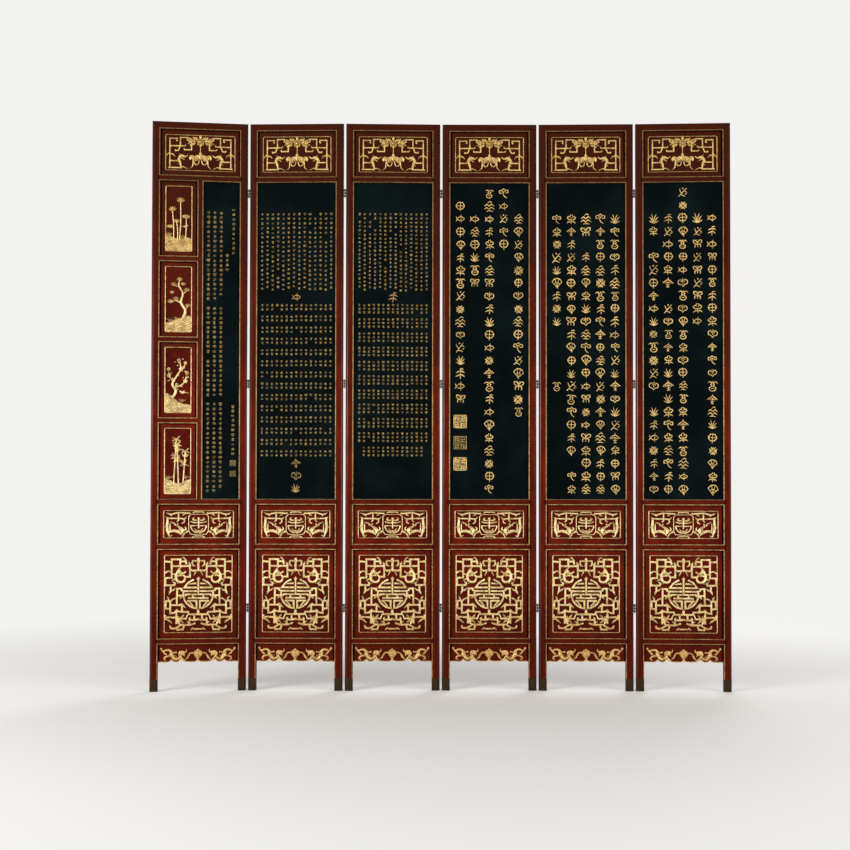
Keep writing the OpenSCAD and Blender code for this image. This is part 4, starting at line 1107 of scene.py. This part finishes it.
# Boards in mm. Columns have x, the z of row 0 and the rows drawn; squares have x, z, size and weight
narrowBoard = dict(pitch=22.85, columns=[(265, 2270, rowsOf((0, 18), (20, 29), (31, 38), (40, 58))),
                                         (294.5, 2270, rowsOf((0, 18), (20, 38), (40, 58))),
                                         (324.5, 2270, rowsOf((0, 17), (20, 38), (40, 57))),
                                         (353, 2066, rowsOf((0, 3))),
                                         (383, 2285, rowsOf((0, 9), (41, 51)))],
                   squares=[(383, 1077, 28, 0.11), (383, 1027, 28, 0.07)])
# Two fields of small marks: an even one above, and bands below with their own number and spacing of rows
bandedBoards = {
    2: dict(upper=dict(columns=14, gap=25.4, top=2266, pitch=22.27, rows=17),
            lower=dict(columns=15, gap=23.3, top=1830, pitch=53.6, bands=14, rows=2, rowPitch=18.5),
            features=[(1870, 1), (1078, 3)], shortEnds=False),
    3: dict(upper=dict(columns=14, gap=24.6, top=2266, pitch=19.9, rows=19),
            lower=dict(columns=15, gap=22.8, top=1831, pitch=68, bands=11, rows=3, rowPitch=17.6),
            features=[(1870, 1)], shortEnds=True),
}
# How far the spacing of an upper column varies, and the shares of the small marks that are left out
banded = dict(stretch=(0.965, 1.02), upperSkip=0.03, lowerSkip=0.02, featurePitch=60)
largeBoards = dict(gap=69.2, top=2368, pitch=61.5,
                   squares={4: [(86, 1277, 64, 0.16), (86, 1176, 64, 0.06), (86, 1075, 64, 0.16)]},
                   spans={4: [[(1, 16)], [(2, 7)], [(0, 23)], [(0, 4)], [(2, 17)]],
                          5: [[(2, 10), (15, 15)], [(2, 20), (22, 23)], [(2, 3), (5, 23)],
                              [(2, 23)], [(2, 23)]],
                          6: [[(2, 3), (5, 15), (17, 23)], [(2, 7), (9, 23)], [(0, 23)],
                              [(2, 10)], [(2, 23)]]})


def spread(count, gap):
    # x of each of a number of columns, even about the leaf's middle
    return [leafMiddle + (k - (count - 1) / 2) * gap for k in range(count)]


def bandedMarks(c, board, dice):
    upper, lower = board["upper"], board["lower"]
    for x in spread(upper["columns"], upper["gap"]):
        pitch = upper["pitch"] * dice.uniform(*banded["stretch"])
        markColumn(c, x, upper["top"], range(upper["rows"]), pitch, "small", dice, banded["upperSkip"])
    for k, x in enumerate(spread(lower["columns"], lower["gap"])):
        atEnd = k in (0, lower["columns"] - 1)
        for band in range(lower["bands"] - (1 if atEnd and board["shortEnds"] else 0)):
            markColumn(c, x, lower["top"] - band * lower["pitch"], range(lower["rows"]), lower["rowPitch"],
                       "small", dice, banded["lowerSkip"])
    for top, rows in board["features"]:
        markColumn(c, leafMiddle, top, range(rows), banded["featurePitch"], "feature", dice)


def boardMarks(leaf):
    dice = random.Random(40 + leaf)
    c = Carving(marks["ground"])
    squares = []
    if leaf == 1:
        for x, top, rows in narrowBoard["columns"]:
            markColumn(c, x, top, rows, narrowBoard["pitch"], "medium", dice)
        squares = narrowBoard["squares"]
    elif leaf in bandedBoards:
        bandedMarks(c, bandedBoards[leaf], dice)
    else:
        spans = largeBoards["spans"][leaf]
        for x, rows in zip(spread(len(spans), largeBoards["gap"]), spans):
            markColumn(c, x, largeBoards["top"], rowsOf(*rows), largeBoards["pitch"], "large", dice)
        squares = largeBoards["squares"].get(leaf, [])
    for square in squares:
        latticeSquare(c, *square)
    return c


# Frame members: the part's own shapes in their leaf's frame, with rounded, worn edges.
# Points nearer than merge, in metres, are joined, and faces within flat degrees; edges past sharp are rounded
rounding = dict(merge=0.00002, flat=0.5, sharp=32, segments=2)


def leafCopy(node, leaf, materials, choose=None, width=0.9):
    # a node's shape with its edges rounded over width, in mm; choose picks the material of each face
    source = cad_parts[node]
    toLeaf = leafAt[leaf - 1].inverted() @ source.matrix_world
    mesh = bpy.data.meshes.new(node + "Plain")
    mesh.from_pydata([toLeaf @ v.co for v in source.data.vertices], [],
                     [list(p.vertices) for p in source.data.polygons])
    shape = bmesh.new()
    shape.from_mesh(mesh)
    bmesh.ops.remove_doubles(shape, verts=shape.verts, dist=rounding["merge"])
    bmesh.ops.dissolve_limit(shape, angle_limit=math.radians(rounding["flat"]), verts=shape.verts,
                             edges=shape.edges)
    shape.to_mesh(mesh)
    shape.free()
    mesh.shade_smooth()
    for material in materials:
        mesh.materials.append(material)
    holder = bpy.data.objects.new(node + "Holder", mesh)
    bpy.context.scene.collection.objects.link(holder)
    bevel = holder.modifiers.new("edges", "BEVEL")
    bevel.width = width / 1000
    bevel.segments = rounding["segments"]
    bevel.limit_method = "ANGLE"
    bevel.angle_limit = math.radians(rounding["sharp"])
    bevel.harden_normals = True
    bevel.material = min(1, len(materials) - 1)
    graph = bpy.context.evaluated_depsgraph_get()
    made = bpy.data.meshes.new_from_object(holder.evaluated_get(graph))
    bpy.data.objects.remove(holder)
    bpy.data.meshes.remove(mesh)
    if choose:
        for face in made.polygons:
            corners = [made.vertices[v].co * 1000 for v in face.vertices]
            face.material_index = choose(face.center * 1000, corners, face.material_index)
    return made


def frameFace(middle, corners, index):
    # 2 on the rounded edges along a shoulder or a mitre, where dirt gathers
    x, y, z = middle
    if index != 1 or y > joinery["face"]:
        return index
    side = min(x, leafWide - x)
    if z > leafHigh - joinery["topRail"]:
        return 2 if abs(leafHigh - z - side) < joinery["mitreHalf"] else 1
    nearRail = min(abs(z - rail) for rail in joinery["rails"]) < joinery["railPoint"] + 1
    return 2 if side < joinery["stile"] and nearRail else 1


# Depths in mm that tell the faces of a red panel apart, and how far past a field's edge they may reach
panelDepth = dict(slab=-0.7, face=-4.5, ground=-1.4, margin=1)
allFields = list(fields.values()) + [pictureField(k) for k in range(picture["count"])]


def within(corners, field):
    x, z, width, height = field
    reach = panelDepth["margin"]
    return all(abs(c.x - x) < width / 2 + reach and abs(c.z - z) < height / 2 + reach for c in corners)


def panelFace(middle, corners, index):
    # 1 in the quirk down the sides and along the top of each opening, in painted shade; 2 on the sunk
    # grounds, a darker red of painted shade
    front, back = min(c.y for c in corners), max(c.y for c in corners)
    if front > panelDepth["slab"] or back < panelDepth["face"]:
        return 0
    if any(within(corners, field) for field in allFields):
        return 2 if front > panelDepth["ground"] else 0
    return 1


# Gilt beads: x of the uprights, also of those beside the mullion, and the depths where a crown starts
beads = dict(uprights=[40.5, 409.5], mullion=[210.5, 243.5], reach=3.2, crown=-13.5, levelCrown=-14.8,
             dimBand=22)


def beadFace(middle, corners, index):
    # 0 on the crown of an upright bead, 2 on a level one, in a painted-shade gilt; 3 on the dim one under a
    # board; 1 on their sides, in painted shade
    x, y, z = middle
    waistRail, topRail = joinery["rails"][2:]
    uprights = beads["uprights"] + (beads["mullion"] if waistRail < z < topRail else [])
    if min(abs(x - u) for u in uprights) < beads["reach"]:
        return 0 if y < beads["crown"] else 1
    if y > beads["levelCrown"]:
        return 1
    return 3 if 0 < z - waistRail < beads["dimBand"] else 2


def paintNode(node, material):
    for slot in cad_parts[node].material_slots:
        slot.material = material


nail = dict(x=31, z=10, radius=3.2, height=1.4, ground=-14.6)


def shoeNails():
    # one domed nail at the lower inner corner of each shoe
    c = Carving(nail["ground"])
    for x in (nail["x"], leafWide - nail["x"]):
        c.knob(x, nail["z"], nail["radius"], nail["height"], corners=14)
    return c


leafCarving = carveLeaf()
apronMesh = apronBoard()
print("carving drawn:", len(leafCarving.faces), "faces a leaf")
frameFinish = (stileRed, edgeRed, seamRed)
for leaf in range(1, screen["leaves"] + 1):
    name = "leaf%d_" % leaf
    at = leafAt[leaf - 1]

    def addCopy(part, materials, choose=None, width=0.9):
        mesh = leafCopy(name + part, leaf, materials, choose, width)
        addPiece(name + part + "Rounded", mesh, leaf, name + part, at)

    def addCarving(part, carving, material, replaces=None):
        mesh = carving.build(name + part, material)
        addPiece(name + part, mesh, leaf, replaces and name + replaces, at)

    addCopy("stiles", frameFinish, frameFace)
    addCopy("rails", (railRed, edgeRed, seamRed), frameFace)
    addCopy("red_panels", (panelRed, quirkShadow, groundShadeRed), panelFace, 0.4)
    addPiece(name + "apronCusped", apronMesh, leaf, name + "apron", at)
    addCopy("gilt_beads", (lineGold, quirkShadow, shadedLevelGold, faintGold), beadFace, 0.1)
    addCopy("shoes", (shoeBronze,))
    if leaf == 1:
        addCopy("mullion", frameFinish, frameFace)
    addCarving("nails", shoeNails(), shoeBronze)
    addCarving("relief", leafCarving, carvedGold, "gilt_carvings")
    marking = boardMarks(leaf)
    addCarving("marks", marking, markGold if leaf in largeBoards["spans"] else smallGold)
    paintNode(name + "lacquer_board", boardBlack)
    paintNode(name + "hinge_eyes", hingeBronze)
    if leaf < screen["leaves"]:
        paintNode("hinge_%d%d_pins" % (leaf, leaf + 1), hingeBronze)
    print("leaf", leaf, "dressed, marks:", len(marking.faces), "faces")

pictures = Carving()
for index in range(picture["count"]):
    addFillet(pictures, pictureField(index))
    carvePicture(pictures, index)
addPiece("leaf1_pictures", pictures.build("leaf1_pictures", carvedGold), 1, matrix=leafAt[0])
print("pictures carved:", len(pictures.faces), "faces")

studio = dict(paper=(243, 242, 240), floor=(240, 239, 236), reach=30, skyLight=0.55, fadeFrom=1.5,
              fadeTo=4.5, target=(0, 0, 1.3))
# Place, size in metres and power in watts of each lamp
lamps = dict(keyLight=((-5.0, -4.6, 2.6), 2.6, 270), fillLight=((5.0, -4.2, 1.8), 3.0, 140),
             backLight=((2.2, 5.2, 3.0), 3.0, 130))


def floorPaper():
    # plain paper that fades into the backdrop where the camera sees it from afar
    look = Finish("floorPaper", Roughness=0.9, Specular_IOR_Level=0.1)
    patches = look.cloud(1.3, 3).fade(0.3, 0.7) * 0.25
    look.set(Base_Color=look.over(paint(*studio["floor"]), studio["paper"], patches))
    away = look.node("ShaderNodeVectorMath", {"operation": "LENGTH"}, {0: look.where}, output=1)
    glow = look.node("ShaderNodeEmission", None, {"Color": paint(*studio["paper"]), "Strength": 1.0})
    seen = look.node("ShaderNodeLightPath", output="Is Camera Ray")
    far = away.fade(studio["fadeFrom"], studio["fadeTo"]) * seen
    surface = Value(look, look.shader.outputs[0])
    shown = look.node("ShaderNodeMixShader", None, {0: far, 1: surface, 2: glow})
    look.feed(look.tree.nodes["Material Output"].inputs["Surface"], shown)
    return look.material


half = studio["reach"]
floorMesh = bpy.data.meshes.new("floor")
corners = [(-half, -half, 0), (half, -half, 0), (half, half, 0), (-half, half, 0)]
floorMesh.from_pydata(corners, [], [(0, 1, 2, 3)])
floorMesh.materials.append(floorPaper())
floor = bpy.data.objects.new("floor", floorMesh)
bpy.context.scene.collection.objects.link(floor)

world = bpy.data.worlds.new("studio")
world.use_nodes = True
bpy.context.scene.world = world
sky = Tree(world.node_tree)
seen, glossy, through = (sky.node("ShaderNodeLightPath", output="Is %s Ray" % kind)
                         for kind in ("Camera", "Glossy", "Transmission"))
shown = seen + glossy + through   # 1 where the backdrop itself is seen, also in gloss and through glass
background = world.node_tree.nodes["Background"]
sky.feed(background.inputs["Color"], sky.mix(shown, (1, 1, 1, 1), paint(*studio["paper"])))
sky.feed(background.inputs["Strength"], studio["skyLight"] + shown * (1 - studio["skyLight"]))

for name, (place, size, power) in lamps.items():
    lamp = bpy.data.lights.new(name, "AREA")
    lamp.shape = "SQUARE"
    lamp.size = size
    lamp.energy = power
    light = bpy.data.objects.new(name, lamp)
    light.location = place
    light.rotation_euler = (Vector(studio["target"]) - Vector(place)).to_track_quat("-Z", "Y").to_euler()
    bpy.context.scene.collection.objects.link(light)

# Camera in front of the screen: metres, degrees, mm of lens, and shifts in pixels of a picture shotWidth wide
view = dict(distance=6.0, height=0.932, pitch=1.1, roll=0.08, lens=53.585, shiftX=-16.3, shiftY=44.6,
            shotWidth=850)
lens = bpy.data.cameras.new("camera")
lens.lens = view["lens"]
lens.sensor_width = 36
lens.shift_x = view["shiftX"] / view["shotWidth"]
lens.shift_y = view["shiftY"] / view["shotWidth"]
camera = bpy.data.objects.new("camera", lens)
place = Matrix.Translation((0, -view["distance"], view["height"]))
tilt = Matrix.Rotation(math.radians(90 + view["pitch"]), 4, "X")
camera.matrix_world = place @ tilt @ Matrix.Rotation(math.radians(view["roll"]), 4, "Z")
bpy.context.scene.collection.objects.link(camera)
bpy.context.scene.camera = camera
bpy.context.scene.view_settings.view_transform = "Standard"
print("studio set")
